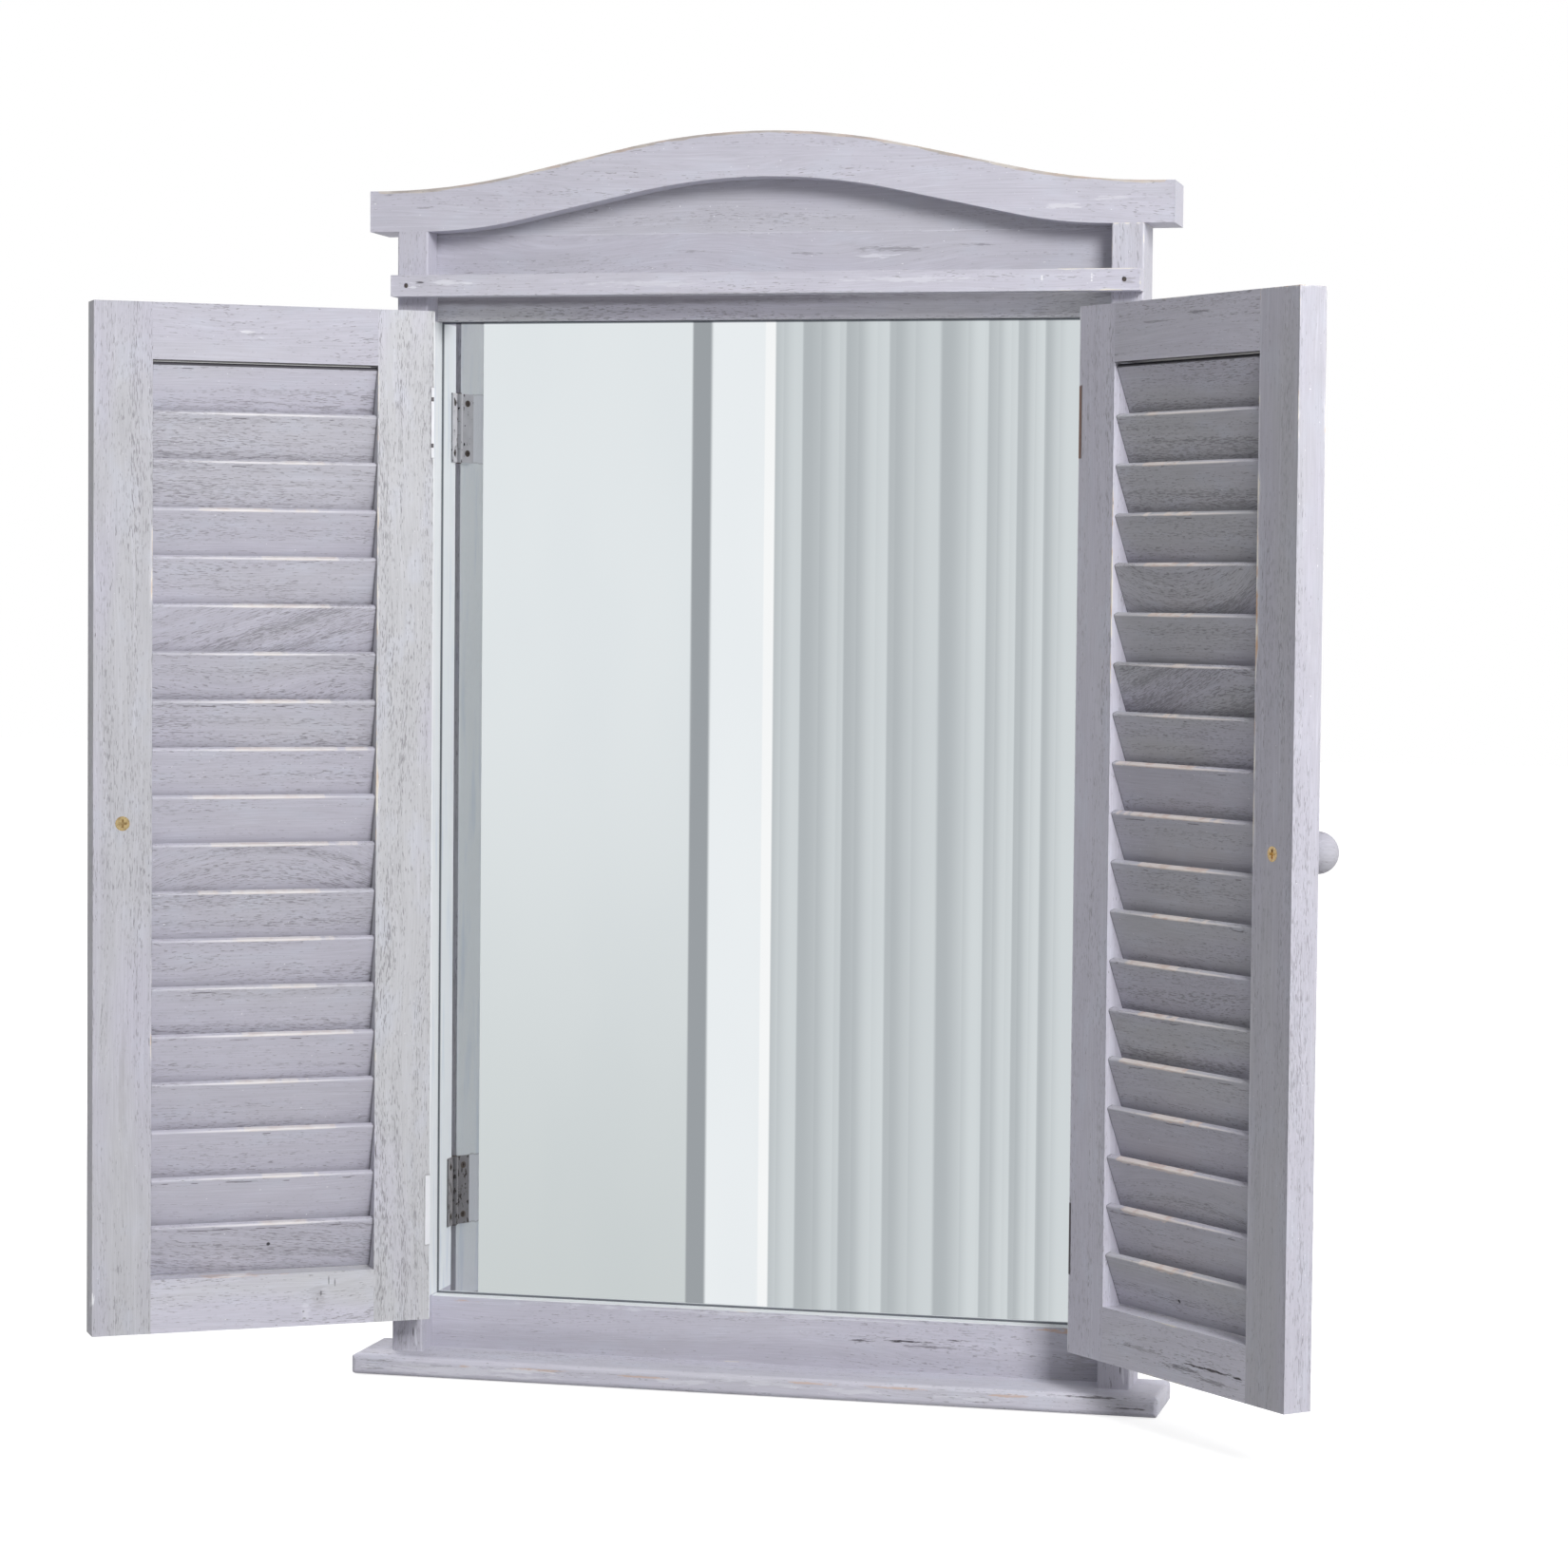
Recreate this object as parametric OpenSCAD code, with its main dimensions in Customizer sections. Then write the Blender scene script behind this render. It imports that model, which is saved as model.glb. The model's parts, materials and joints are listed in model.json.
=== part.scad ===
// Wall mirror in a wooden window frame, with two louvred shutters.
// The origin is the midpoint between the two hanging holes, on the wall plane.
// +X points to the right, +Y into the wall, +Z up. All sizes are in millimetres.

/* [Frame] */
// Height from the underside of the sill to the crown of the cornice
overall_h = 705; // [600:5:850]
// Width over the two posts
frame_w = 427; // [380:1:520]
// Width of a post
post_w = 18; // [16:0.5:24]
// Depth of a post, from the wall to its front
post_d = 34; // [33:0.5:42]
// Radius of the posts' long edges
post_r = 1.2; // [0.5:0.1:2]
// Height of the header rail over the glass
header_h = 18; // [16:1:24]
// Distance from the top of the posts down to the underside of the header rail
header_drop = 49.5; // [45:0.5:60]
// Height of the bottom rail
bottom_rail_h = 29.5; // [24:0.5:40]

/* [Sill] */
// Thickness of the sill board
sill_t = 11.5; // [9:0.5:16]
// Depth of the sill board, from the wall
sill_d = 52; // [46:1:80]
// How far the sill board stands out past each post
sill_over = 18.5; // [10:0.5:30]
// Radius of the sill board's upper and lower edges
sill_r = 3; // [1:0.5:4]

/* [Cornice] */
// How far the cornice stands out past each post
cornice_over = 16.5; // [8:0.5:25]
// Height of the cornice at its ends
cornice_end_h = 23; // [18:0.5:32]
// Length of the flat stretch on top at each end
cornice_flat = 8; // [4:1:24]
// Rise of the top edge from the ends to the crown
crown_rise = 30.5; // [20:0.5:40]
// Length of the straight stretch in each half of the top edge
crown_run = 62.5; // [20:0.5:90]
// Part of the two radii that the crown of the top edge takes
crown_share = 0.5; // [0.4:0.05:0.6]
// Rise of the arched underside
arch_rise = 28.2; // [18:0.1:32]
// Length of the straight stretch in each half of the underside
arch_run = 70; // [20:0.5:90]
// Part of the two radii that the crown of the underside takes
arch_share = 0.58; // [0.45:0.01:0.65]

/* [Pediment] */
// Thickness of the two boards under the arch
pediment_t = 10; // [8:0.5:11]
// Distance from the wall to the front of these boards
pediment_front = 17; // [16:0.5:18]
// Depth of the grooves that hold these boards
groove_d = 4; // [3:0.5:5]
// Distance from the top of the posts down to the seam of the two boards
seam_drop = 1; // [0:0.5:8]

/* [Ledge strip] */
// Height of the strip
ledge_h = 12; // [9:0.5:14]
// Thickness of the strip
ledge_t = 12; // [8:0.5:16]
// Gap between the top of the shutters and the strip
ledge_gap = 9; // [5:0.5:12]

/* [Glass] */
// Thickness of the mirror glass
glass_t = 3; // [2:0.5:4]
// Thickness of the back panel
back_t = 2; // [1.5:0.5:3]
// Depth behind the back panel that its pins take
pin_zone = 2; // [1.8:0.1:2.5]
// Width of the rebate that holds the glass
rebate_w = 6; // [4:0.5:7]

/* [Shutters] */
// Thickness of a shutter
shutter_t = 17; // [15:0.5:20]
// Gap between a closed shutter and the rails behind it
shut_gap = 1.5; // [0.5:0.1:2]
// Gap between the two shutters when they are closed
meeting_gap = 3.4; // [3:0.1:6]
// How far a closed shutter reaches above the underside of the header rail
lap_top = 3; // [1:0.5:6]
// How far a closed shutter reaches below the top of the bottom rail
lap_bottom = 7; // [3:0.5:10]
// Width of the shutter stiles
stile_w = 32.5; // [26:0.5:40]
// Height of the shutters' top rails
top_rail_h = 31.5; // [26:0.5:40]
// Height of the shutters' bottom rails
bottom_h = 30; // [26:0.5:40]
// Opening angle of the left shutter at rest, from closed
left_open = 147; // [100:1:175]
// Opening angle of the right shutter at rest, from closed
right_open = 134; // [100:1:175]

/* [Slats] */
// Thickness of a slat
slat_t = 4.5; // [3:0.5:5]
// Tilt of a slat from upright; its lower edge is the outer one
slat_tilt = 20; // [16:1:26]
// Distance from the slats' long edges to the faces of the shutter
slat_margin = 1.3; // [0.8:0.1:2]
// Distance from slat to slat that the spacing aims at
slat_pitch = 26.6; // [24:0.2:28]
// Depth to which a slat is let into each stile
slat_tongue = 3; // [2:0.5:5]

/* [Knobs] */
// Diameter of the knob's ball
knob_ball = 22; // [16:1:26]
// Diameter of the knob's foot
knob_foot = 13; // [9:0.5:16]
// Distance from the shutter's outer face to the ball
knob_neck = 1; // [0.5:0.1:3]
// Height of the knob and its screw above the lower end of the shutter
knob_h = 284; // [240:1:320]

/* [Hinges] */
// Length of a hinge
hinge_h = 40; // [30:1:50]
// Width of a hinge leaf, from the pin's middle
leaf_w = 11; // [9:0.5:14]
// Thickness of a hinge leaf
leaf_t = 0.8; // [0.6:0.05:1]
// Gap between the two leaves of a hinge when the shutter is closed
leaf_gap = 0.2; // [0.1:0.05:0.5]
// Distance from the post's front to the hinge knuckles
knuckle_lead = 0.2; // [0.2:0.1:1]
// Radius of the hinge pin
pin_r = 1; // [0.8:0.1:1.2]
// Radius of the hinge knuckles
knuckle_r = 2; // [1.8:0.1:2.5]
// Distance from the end of a shutter to the hinge
hinge_inset = 42.5; // [36:0.5:70]
// Distance from the end of a leaf to its screw
leaf_screw_edge = 5.5; // [3:0.5:8]

/* [Hangers] */
// Distance from the top of the posts down to the hanger plates
hanger_margin = 3.5; // [2:0.5:6]
// Radius of a hanging hole
hanger_hole_r = 4; // [3:0.5:4.5]
// Width of a hanger plate
hanger_w = 14; // [13:0.5:15]
// Height of a hanger plate
hanger_h = 36; // [34:1:38]
// Thickness of a hanger plate
hanger_t = 1.2; // [1:0.1:1.5]

/* [Hidden] */
$fn = 72;

// Colours
paint = [0.72, 0.71, 0.76];
slat_paint = [0.66, 0.65, 0.70];
bare_wood = [0.80, 0.66, 0.48];
steel = [0.45, 0.42, 0.40];
brass = [0.86, 0.72, 0.42];
glass_tint = [0.80, 0.85, 0.86];

// Clearances
wood_fit = 0.2;     // between a board's tongue and its groove
bore_fit = 0.05;    // between a fastener, dowel or hinge pin and its hole, on the radius
glass_fit = 0.5;    // between the glass and its rebate, on each side
slat_fit = 0.05;    // between a slat and its mortise, on each side
plate_fit = 0.1;    // between a hanger plate and its recess, on each side
knuckle_fit = 0.1;  // between a knuckle's end and the next, on each side
sink = 0.3;         // from a wood surface down to a sunk screw head
cut = 1;            // how far a cutter reaches past the face that it cuts
blend = 0.01;       // how far the arcs of an S-curve pass its straight run

// Heights of the frame, from the hanging holes
post_top = hanger_margin + hanger_h / 2;
post_h = overall_h - sill_t - cornice_end_h - crown_rise;
sill_top = post_top - post_h;
header_z = post_top - header_drop;
rail_top = sill_top + bottom_rail_h;
cornice_top = post_top + cornice_end_h;
seam_z = post_top - seam_drop;

// Rails; a closed shutter lies in front of them, flush with the posts
rail_t = post_d - shutter_t - shut_gap;

// Widths of the frame
post_out = frame_w / 2;
post_in = post_out - post_w;
post_mid = post_out - post_w / 2;
cornice_half = post_out + cornice_over;
sill_half = post_out + sill_over;

// Glass and its rebate
rebate_d = glass_t + back_t + pin_zone;
rebate_half = post_in + rebate_w;
rebate_bottom = rail_top - rebate_w;
rebate_top = header_z + rebate_w;
glass_half = rebate_half - glass_fit;
glass_bottom = rebate_bottom + glass_fit;
glass_top = rebate_top - glass_fit;
panel_pin_r = 0.6;
panel_pin_l = 14;
panel_pin_y = -pin_zone / 2 - 0.1;

// Shutters, closed, in a frame whose upright axis is the hinge pin
hinge_gap = 2 * leaf_t + leaf_gap;
pin_lead = knuckle_r + knuckle_lead;
pin_x = post_in - hinge_gap / 2;
pin_y = -post_d - pin_lead;
shutter_w = post_in - hinge_gap - meeting_gap / 2;
shutter_bottom = rail_top - lap_bottom;
shutter_top = header_z + lap_top;
shutter_h = shutter_top - shutter_bottom;
edge_x = hinge_gap / 2;
outer_y = pin_lead;
inner_y = pin_lead + shutter_t;
mid_y = (outer_y + inner_y) / 2;
far_x = edge_x + shutter_w;
rail_x = edge_x + stile_w;
rail_w = shutter_w - 2 * stile_w;
open_bottom = shutter_bottom + bottom_h;
open_top = shutter_top - top_rail_h;
ledge_z = shutter_top + ledge_gap;

// Slats
slat_edge_r = 1.2;
slat_end_gap = 0.5;
slat_w = (shutter_t - 2 * slat_margin - slat_t * cos(slat_tilt)) / sin(slat_tilt);
slat_rise = slat_w * cos(slat_tilt) + slat_t * sin(slat_tilt);
slat_span = open_top - open_bottom - 2 * slat_end_gap - slat_rise;
slat_last = round(slat_span / slat_pitch);
slat_step = slat_span / slat_last;

// Hinges
hinge_zs = [shutter_bottom + hinge_inset + hinge_h / 2, shutter_top - hinge_inset - hinge_h / 2];
knuckles = 5;
knuckle_h = hinge_h / knuckles;
leaf_root = knuckle_r + 0.3;
pin_head_r = 1.5;
pin_head_h = 0.5;
leaf_screw_y = (leaf_root + leaf_w) / 2;
leaf_screw_step = hinge_h / 2 - leaf_screw_edge;
leaf_head_r = 1.9;
leaf_shank_r = leaf_head_r - leaf_t;
leaf_screw_l = 10;

// Other fasteners; the rails' dowels end beside the screws in the middle of the posts
dowel_r = 3;
dowel_in_rail = 14;
header_dowel_z = header_z + rebate_w + dowel_r + 2;
header_dowel_y = -rail_t / 2 - 2;
bottom_dowel_zs = [sill_top + 7, sill_top + 17];
bottom_dowel_y = -rail_t / 2;
cornice_dowel_r = 2.5;
cornice_dowel_l = 24;
cornice_dowel_ys = [-post_d + 6, -post_d + 15];
sill_head_r = 3.6;
sill_shank_r = 1.75;
sill_screw_l = 36;
sill_screws_at = [
    [-post_mid, -post_d + 10], [-post_mid / 2, -(rebate_d + rail_t) / 2],
    [post_mid / 2, -(rebate_d + rail_t) / 2], [post_mid, -post_d + 10]];
nail_r = 0.8;
nail_head_r = 1.3;
nail_head_h = 1;
nail_l = 26;
nail_sink = 1.5;
knob_reach = knob_neck + knob_ball / 2;
knob_head_r = 4;
knob_shank_r = 1.9;
knob_thread_l = 14;
knob_screw_l = shutter_t + knob_thread_l;
hanger_head_r = 2.1;
hanger_shank_r = 1.1;
hanger_screw_l = 14;
hanger_screw_z = hanger_h / 2 - 5;
hanger_corner_r = 2;
pocket_r = hanger_hole_r + 1;
pocket_d = 5;
dowel_in_post = post_w / 2 - hanger_shank_r - 1;
shutter_dowel_l = 30;
shutter_dowel_step = 8;

// ---- Shared shapes ----

// A rectangle with round corners, one corner at the origin
module round_rect(w, h, r) {
    translate([r, 0]) square([w - 2 * r, h]);
    translate([0, r]) square([w, h - 2 * r]);
    for (x = [r, w - r], y = [r, h - r]) translate([x, y]) circle(r);
}

// The area under an S-curve that rises from both ends to a crown in the middle.
// Each half is a hollow arc, a straight run and a crown arc, all tangent. share is the
// crown's part of the two radii, and root is how far the area reaches below the ends.
// The arcs pass the straight run by the small amount blend, so that they cross it cleanly.
module swell(half_span, rise, run, share, root) {
    radii = (half_span ^ 2 + rise ^ 2 - run ^ 2) / (2 * rise);
    slope = atan2(half_span, radii - rise) - atan2(run, radii);
    crown_r = radii * share;
    foot_r = radii - crown_r;
    crown_x = crown_r * sin(slope);
    crown_z = rise - crown_r * (1 - cos(slope));
    foot_x = half_span - foot_r * sin(slope);
    foot_z = foot_r * (1 - cos(slope));
    cap_x = crown_x + 2 * sqrt(2 * crown_r * blend);
    difference() {
        union() {
            polygon([
                [-half_span, -root], [half_span, -root], [half_span, foot_z],
                [foot_x, foot_z], [crown_x, crown_z - blend],
                [-crown_x, crown_z - blend], [-foot_x, foot_z], [-half_span, foot_z]]);
            intersection() {
                translate([0, rise - crown_r]) circle(crown_r, $fn = 720);
                translate([-cap_x, crown_z / 2]) square([2 * cap_x, rise]);
            }
        }
        for (side = [-1, 1])
            translate([side * half_span, foot_r - blend]) circle(foot_r, $fn = 720);
    }
}

// Extrudes an outline drawn in X and Z from the depth y_back forward by t
module board(y_back, t) {
    translate([0, y_back, 0]) rotate([90, 0, 0]) linear_extrude(t) children();
}

// Outline of a countersunk screw that points down, with its head's face at z = 0.
// grow widens it all round into a clearance hole, and above opens the hole upwards.
function screw_outline(head_r, shank_r, l, grow, above) = [
    [0, above], [head_r + grow, above], [head_r + grow, -grow],
    [shank_r + grow, shank_r - head_r - grow], [shank_r + grow, 2 * shank_r - l],
    [0, -l - grow]];

module screw(head_r, shank_r, l) {
    slot = head_r * 0.3;
    reach = head_r * 1.2;
    depth = head_r * 0.35;
    difference() {
        rotate_extrude() polygon(screw_outline(head_r, shank_r, l, 0, 0.05));
        for (turn = [0, 90]) rotate([0, 0, turn])
            translate([-reach / 2, -slot / 2, -depth]) cube([reach, slot, depth + cut]);
    }
}

module screw_hole(head_r, shank_r, l) {
    rotate_extrude() polygon(screw_outline(head_r, shank_r, l, bore_fit, cut));
}

// Turn a shape that points down so that it points along another axis
module pointing_left() rotate([0, 90, 0]) children();
module pointing_right() rotate([0, -90, 0]) children();
module pointing_front() rotate([-90, 0, 0]) children();
module pointing_back() rotate([90, 0, 0]) children();
module pointing_up() rotate([180, 0, 0]) children();

// The right half of the frame is the left half mirrored
module other_side() mirror([1, 0, 0]) children();

// ---- Frame ----

// Space behind the posts and rails that holds the glass, the back panel and its pins
module glass_pocket() {
    translate([-rebate_half, -rebate_d, rebate_bottom])
        cube([2 * rebate_half, rebate_d + cut, rebate_top - rebate_bottom]);
}

// Dowels between the posts and the two rails, on the left; grow makes their holes
module left_rail_dowels(grow) {
    start = post_in + dowel_in_post + grow;
    l = dowel_in_post + dowel_in_rail + 2 * grow;
    places = concat([[header_dowel_y, header_dowel_z]],
        [for (z = bottom_dowel_zs) [bottom_dowel_y, z]]);
    for (place = places) translate([-start, place[0], place[1]])
        rotate([0, 90, 0]) cylinder(r = dowel_r + grow, h = l);
}

// Dowels between the left post and the cornice
module left_cornice_dowels(grow) {
    for (y = cornice_dowel_ys)
        translate([-post_mid, y, post_top - cornice_dowel_l / 2 - grow])
            cylinder(r = cornice_dowel_r + grow, h = cornice_dowel_l + 2 * grow);
}

module at_sill_screws() {
    for (place = sill_screws_at) translate([place[0], place[1], sill_top - sill_t + sink])
        pointing_up() children();
}

module sill_screw_holes() {
    at_sill_screws() screw_hole(sill_head_r, sill_shank_r, sill_screw_l);
}

// Outline of the ledge nail, pointing down, with the top of its head at z = 0
function nail_outline(grow, above) = [
    [0, above], [nail_head_r + grow, above], [nail_head_r + grow, -nail_head_h - grow],
    [nail_r + grow, -nail_head_h - grow], [nail_r + grow, 2 * nail_r - nail_l],
    [0, -nail_l - grow]];

module at_left_nail() {
    translate([-post_mid, -post_d - ledge_t + nail_sink, ledge_z + ledge_h / 2])
        pointing_back() children();
}

module left_nail_hole() {
    at_left_nail() rotate_extrude() polygon(nail_outline(bore_fit, nail_sink + cut));
}

// Places of the back panel's pins: along the posts, then along the two rails
panel_pin_zs = [for (k = [0.5:1:3.5]) glass_bottom + k * (glass_top - glass_bottom) / 4];
panel_pin_xs = [for (k = [0.5:1:2.5]) -glass_half + k * 2 * glass_half / 3];

module panel_pins(grow) {
    r = panel_pin_r + grow;
    l = panel_pin_l + 2 * grow;
    post_start = rebate_half - panel_pin_l / 2 - grow;
    for (side = [-1, 1], z = panel_pin_zs)
        translate([side * post_start, panel_pin_y, z])
            rotate([0, side * 90, 0]) cylinder(r = r, h = l);
    for (x = panel_pin_xs, z = [rebate_bottom, rebate_top])
        translate([x, panel_pin_y, z - l / 2]) cylinder(r = r, h = l);
}

module left_hanger_recess() {
    grown_w = hanger_w + 2 * plate_fit;
    grown_h = hanger_h + 2 * plate_fit;
    board(cut, hanger_t + cut) translate([-post_mid - grown_w / 2, -grown_h / 2])
        round_rect(grown_w, grown_h, hanger_corner_r + plate_fit);
    translate([-post_mid, 0, 0]) rotate([90, 0, 0]) cylinder(r = pocket_r, h = hanger_t + pocket_d);
}

module at_left_hanger_screws() {
    for (z = [-hanger_screw_z, hanger_screw_z]) translate([-post_mid, -0.1, z])
        pointing_front() children();
}

// Every screw place of a hinge leaf on the frame, on the left side
module at_left_frame_leaf_screws() {
    for (z = hinge_zs, step = [-1, 1])
        translate([-post_in + leaf_t, pin_y + leaf_screw_y, z + step * leaf_screw_step])
            pointing_left() children();
}

// The groove for the pediment boards; it starts above the header rail
module pediment_groove() {
    half = post_in + groove_d;
    t = pediment_t + 2 * wood_fit;
    bottom = header_z + header_h;
    board(-pediment_front + pediment_t + wood_fit, t) {
        translate([-half, bottom]) square([2 * half, post_top + groove_d - bottom]);
        translate([0, post_top + groove_d])
            swell(post_in, arch_rise, arch_run, arch_share, cut);
    }
}

module post() {
    color(paint) difference() {
        translate([-post_out, -post_d, sill_top]) linear_extrude(post_h)
            round_rect(post_w, post_d, post_r);
        glass_pocket();
        pediment_groove();
        left_rail_dowels(bore_fit);
        left_cornice_dowels(bore_fit);
        sill_screw_holes();
        left_nail_hole();
        panel_pins(bore_fit);
        left_hanger_recess();
        at_left_hanger_screws() screw_hole(hanger_head_r, hanger_shank_r, hanger_screw_l);
        at_left_frame_leaf_screws() screw_hole(leaf_head_r, leaf_shank_r, leaf_screw_l);
    }
}

module left_post() post();
module right_post() other_side() post();

module cornice() {
    color(paint) difference() {
        board(0, post_d) difference() {
            union() {
                translate([-cornice_half, post_top]) square([2 * cornice_half, cornice_end_h]);
                translate([0, cornice_top])
                    swell(cornice_half - cornice_flat, crown_rise, crown_run, crown_share, cut);
            }
            translate([0, post_top]) swell(post_in, arch_rise, arch_run, arch_share, cut);
        }
        pediment_groove();
        left_cornice_dowels(bore_fit);
        other_side() left_cornice_dowels(bore_fit);
    }
}

// Half the length of the pediment boards
pediment_half = post_in + groove_d - wood_fit;

module upper_pediment_board() {
    color(paint) board(-pediment_front + pediment_t, pediment_t) {
        translate([-pediment_half, seam_z])
            square([2 * pediment_half, post_top + groove_d - wood_fit - seam_z]);
        translate([0, post_top + groove_d - wood_fit])
            swell(post_in, arch_rise, arch_run, arch_share, cut);
    }
}

module lower_pediment_board() {
    color(paint) translate([-pediment_half, -pediment_front, header_z + header_h])
        cube([2 * pediment_half, pediment_t, seam_z - header_z - header_h]);
}

module ledge_strip() {
    color(paint) difference() {
        translate([-post_out, -post_d - ledge_t, ledge_z]) cube([2 * post_out, ledge_t, ledge_h]);
        left_nail_hole();
        other_side() left_nail_hole();
    }
}

// A rail between the posts, cut for the glass, its dowels, pins and screws
module frame_rail(z, h) {
    difference() {
        translate([-post_in, -rail_t, z]) cube([2 * post_in, rail_t, h]);
        glass_pocket();
        left_rail_dowels(bore_fit);
        other_side() left_rail_dowels(bore_fit);
        panel_pins(bore_fit);
        sill_screw_holes();
    }
}

module header_rail() color(paint) frame_rail(header_z, header_h);
module bottom_rail() color(paint) frame_rail(sill_top, bottom_rail_h);

// The board is what its three rounded outlines have in common
module sill_board() {
    color(paint) difference() {
        intersection() {
            translate([-sill_half, 0, sill_top - sill_t]) rotate([90, 0, 90])
                linear_extrude(2 * sill_half) translate([-sill_d, 0]) sill_section();
            board(0, sill_d) translate([-sill_half, sill_top - sill_t])
                round_rect(2 * sill_half, sill_t, sill_r);
            translate([-sill_half, -sill_d, sill_top - sill_t]) linear_extrude(sill_t)
                round_rect(2 * sill_half, sill_d, sill_r);
        }
        sill_screw_holes();
    }
}

// Section of the sill, round at the front and square at the wall
module sill_section() {
    round_rect(sill_d / 2, sill_t, sill_r);
    translate([sill_r, 0]) square([sill_d - sill_r, sill_t]);
}

module mirror_glass() {
    color(glass_tint) translate([-glass_half, -rebate_d, glass_bottom])
        cube([2 * glass_half, glass_t, glass_top - glass_bottom]);
}

module back_panel() {
    color(bare_wood) translate([-glass_half, -rebate_d + glass_t, glass_bottom])
        cube([2 * glass_half, back_t, glass_top - glass_bottom]);
}

module rail_dowels() {
    color(bare_wood) {
        left_rail_dowels(0);
        other_side() left_rail_dowels(0);
    }
}

module cornice_dowels() {
    color(bare_wood) {
        left_cornice_dowels(0);
        other_side() left_cornice_dowels(0);
    }
}

module sill_screws() color(steel) at_sill_screws() screw(sill_head_r, sill_shank_r, sill_screw_l);

module ledge_nails() {
    color(steel) {
        at_left_nail() rotate_extrude() polygon(nail_outline(0, 0.05));
        other_side() at_left_nail() rotate_extrude() polygon(nail_outline(0, 0.05));
    }
}

module back_panel_pins() color(steel) panel_pins(0);

// ---- Hangers ----

module hanger_plate() {
    color(steel) difference() {
        board(0, hanger_t) translate([-post_mid - hanger_w / 2, -hanger_h / 2])
            round_rect(hanger_w, hanger_h, hanger_corner_r);
        translate([-post_mid, cut, 0]) rotate([90, 0, 0])
            cylinder(r = hanger_hole_r, h = hanger_t + 2 * cut);
        at_left_hanger_screws() screw_hole(hanger_head_r, hanger_shank_r, hanger_screw_l);
    }
}

module left_hanger_plate() hanger_plate();
module right_hanger_plate() other_side() hanger_plate();

module hanger_screws() {
    color(steel) {
        at_left_hanger_screws() screw(hanger_head_r, hanger_shank_r, hanger_screw_l);
        other_side() at_left_hanger_screws() screw(hanger_head_r, hanger_shank_r, hanger_screw_l);
    }
}

// ---- Hinges ----

// A hinge leaf about its pin, with its middle at z = 0. x is the plate's lower side, first
// the number of its lowest knuckle, and facing 1 where its screws point towards +X.
module leaf(x, first, facing) {
    face_x = facing > 0 ? x : x + leaf_t;
    difference() {
        union() {
            translate([x, leaf_root, -hinge_h / 2]) cube([leaf_t, leaf_w - leaf_root, hinge_h]);
            for (k = [first:2:knuckles - 1]) {
                z = -hinge_h / 2 + k * knuckle_h + knuckle_fit;
                l = knuckle_h - 2 * knuckle_fit;
                translate([x, 0, z]) cube([leaf_t, leaf_root + cut, l]);
                translate([0, 0, z]) cylinder(r = knuckle_r, h = l);
            }
        }
        translate([0, 0, -hinge_h]) cylinder(r = pin_r + bore_fit, h = 2 * hinge_h);
        for (step = [-1, 1]) translate([face_x, leaf_screw_y, step * leaf_screw_step])
            rotate([0, -90 * facing, 0]) screw_hole(leaf_head_r, leaf_shank_r, leaf_screw_l);
    }
}

module frame_leaf(z) {
    color(steel) translate([-pin_x, pin_y, z]) leaf(-hinge_gap / 2, 0, -1);
}

module hinge_pin(z) {
    color(steel) translate([-pin_x, pin_y, z]) {
        cylinder(r = pin_r, h = hinge_h + 2 * pin_head_h, center = true);
        for (end = [-1, 1]) translate([0, 0, end * (hinge_h + pin_head_h) / 2])
            cylinder(r = pin_head_r, h = pin_head_h, center = true);
    }
}

module left_upper_frame_leaf() frame_leaf(hinge_zs[1]);
module left_lower_frame_leaf() frame_leaf(hinge_zs[0]);
module right_upper_frame_leaf() other_side() frame_leaf(hinge_zs[1]);
module right_lower_frame_leaf() other_side() frame_leaf(hinge_zs[0]);
module left_upper_hinge_pin() hinge_pin(hinge_zs[1]);
module left_lower_hinge_pin() hinge_pin(hinge_zs[0]);
module right_upper_hinge_pin() other_side() hinge_pin(hinge_zs[1]);
module right_lower_hinge_pin() other_side() hinge_pin(hinge_zs[0]);

module frame_leaf_screws() {
    color(steel) {
        at_left_frame_leaf_screws() screw(leaf_head_r, leaf_shank_r, leaf_screw_l);
        other_side() at_left_frame_leaf_screws() screw(leaf_head_r, leaf_shank_r, leaf_screw_l);
    }
}

// ---- Shutters ----
// A shutter is drawn closed, as the left one, about its hinge pin: +X runs from the hinge to
// the meeting edge, and +Y from the outer face to the inner face.

module left_shutter() {
    translate([-pin_x, pin_y, 0]) rotate([0, 0, -left_open]) children();
}

module right_shutter() {
    other_side() translate([-pin_x, pin_y, 0]) rotate([0, 0, -right_open]) children();
}

// Section of a slat, in Y and Z, tilted about its middle; grow makes its mortise
module slat_section(grow) {
    w = slat_t + 2 * grow;
    h = slat_w + 2 * grow;
    rotate([0, 0, -slat_tilt]) translate([-w / 2, -h / 2]) round_rect(w, h, slat_edge_r + grow);
}

// All slats or their mortises, from x over the length l
module slat_row(x, l, grow) {
    for (k = [0:slat_last])
        translate([x, mid_y, open_top - slat_end_gap - slat_rise / 2 - k * slat_step])
            rotate([90, 0, 90]) linear_extrude(l) slat_section(grow);
}

// Dowels of the four corner joints
module corner_dowels(grow) {
    l = shutter_dowel_l + 2 * grow;
    for (x = [rail_x, rail_x + rail_w], z = [shutter_top - top_rail_h / 2, shutter_bottom + bottom_h / 2])
        for (step = [-1, 1]) translate([x - l / 2, mid_y, z + step * shutter_dowel_step])
            rotate([0, 90, 0]) cylinder(r = dowel_r + grow, h = l);
}

module at_leaf_screws() {
    for (z = hinge_zs, step = [-1, 1])
        translate([edge_x - leaf_t, leaf_screw_y, z + step * leaf_screw_step])
            pointing_right() children();
}

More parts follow.
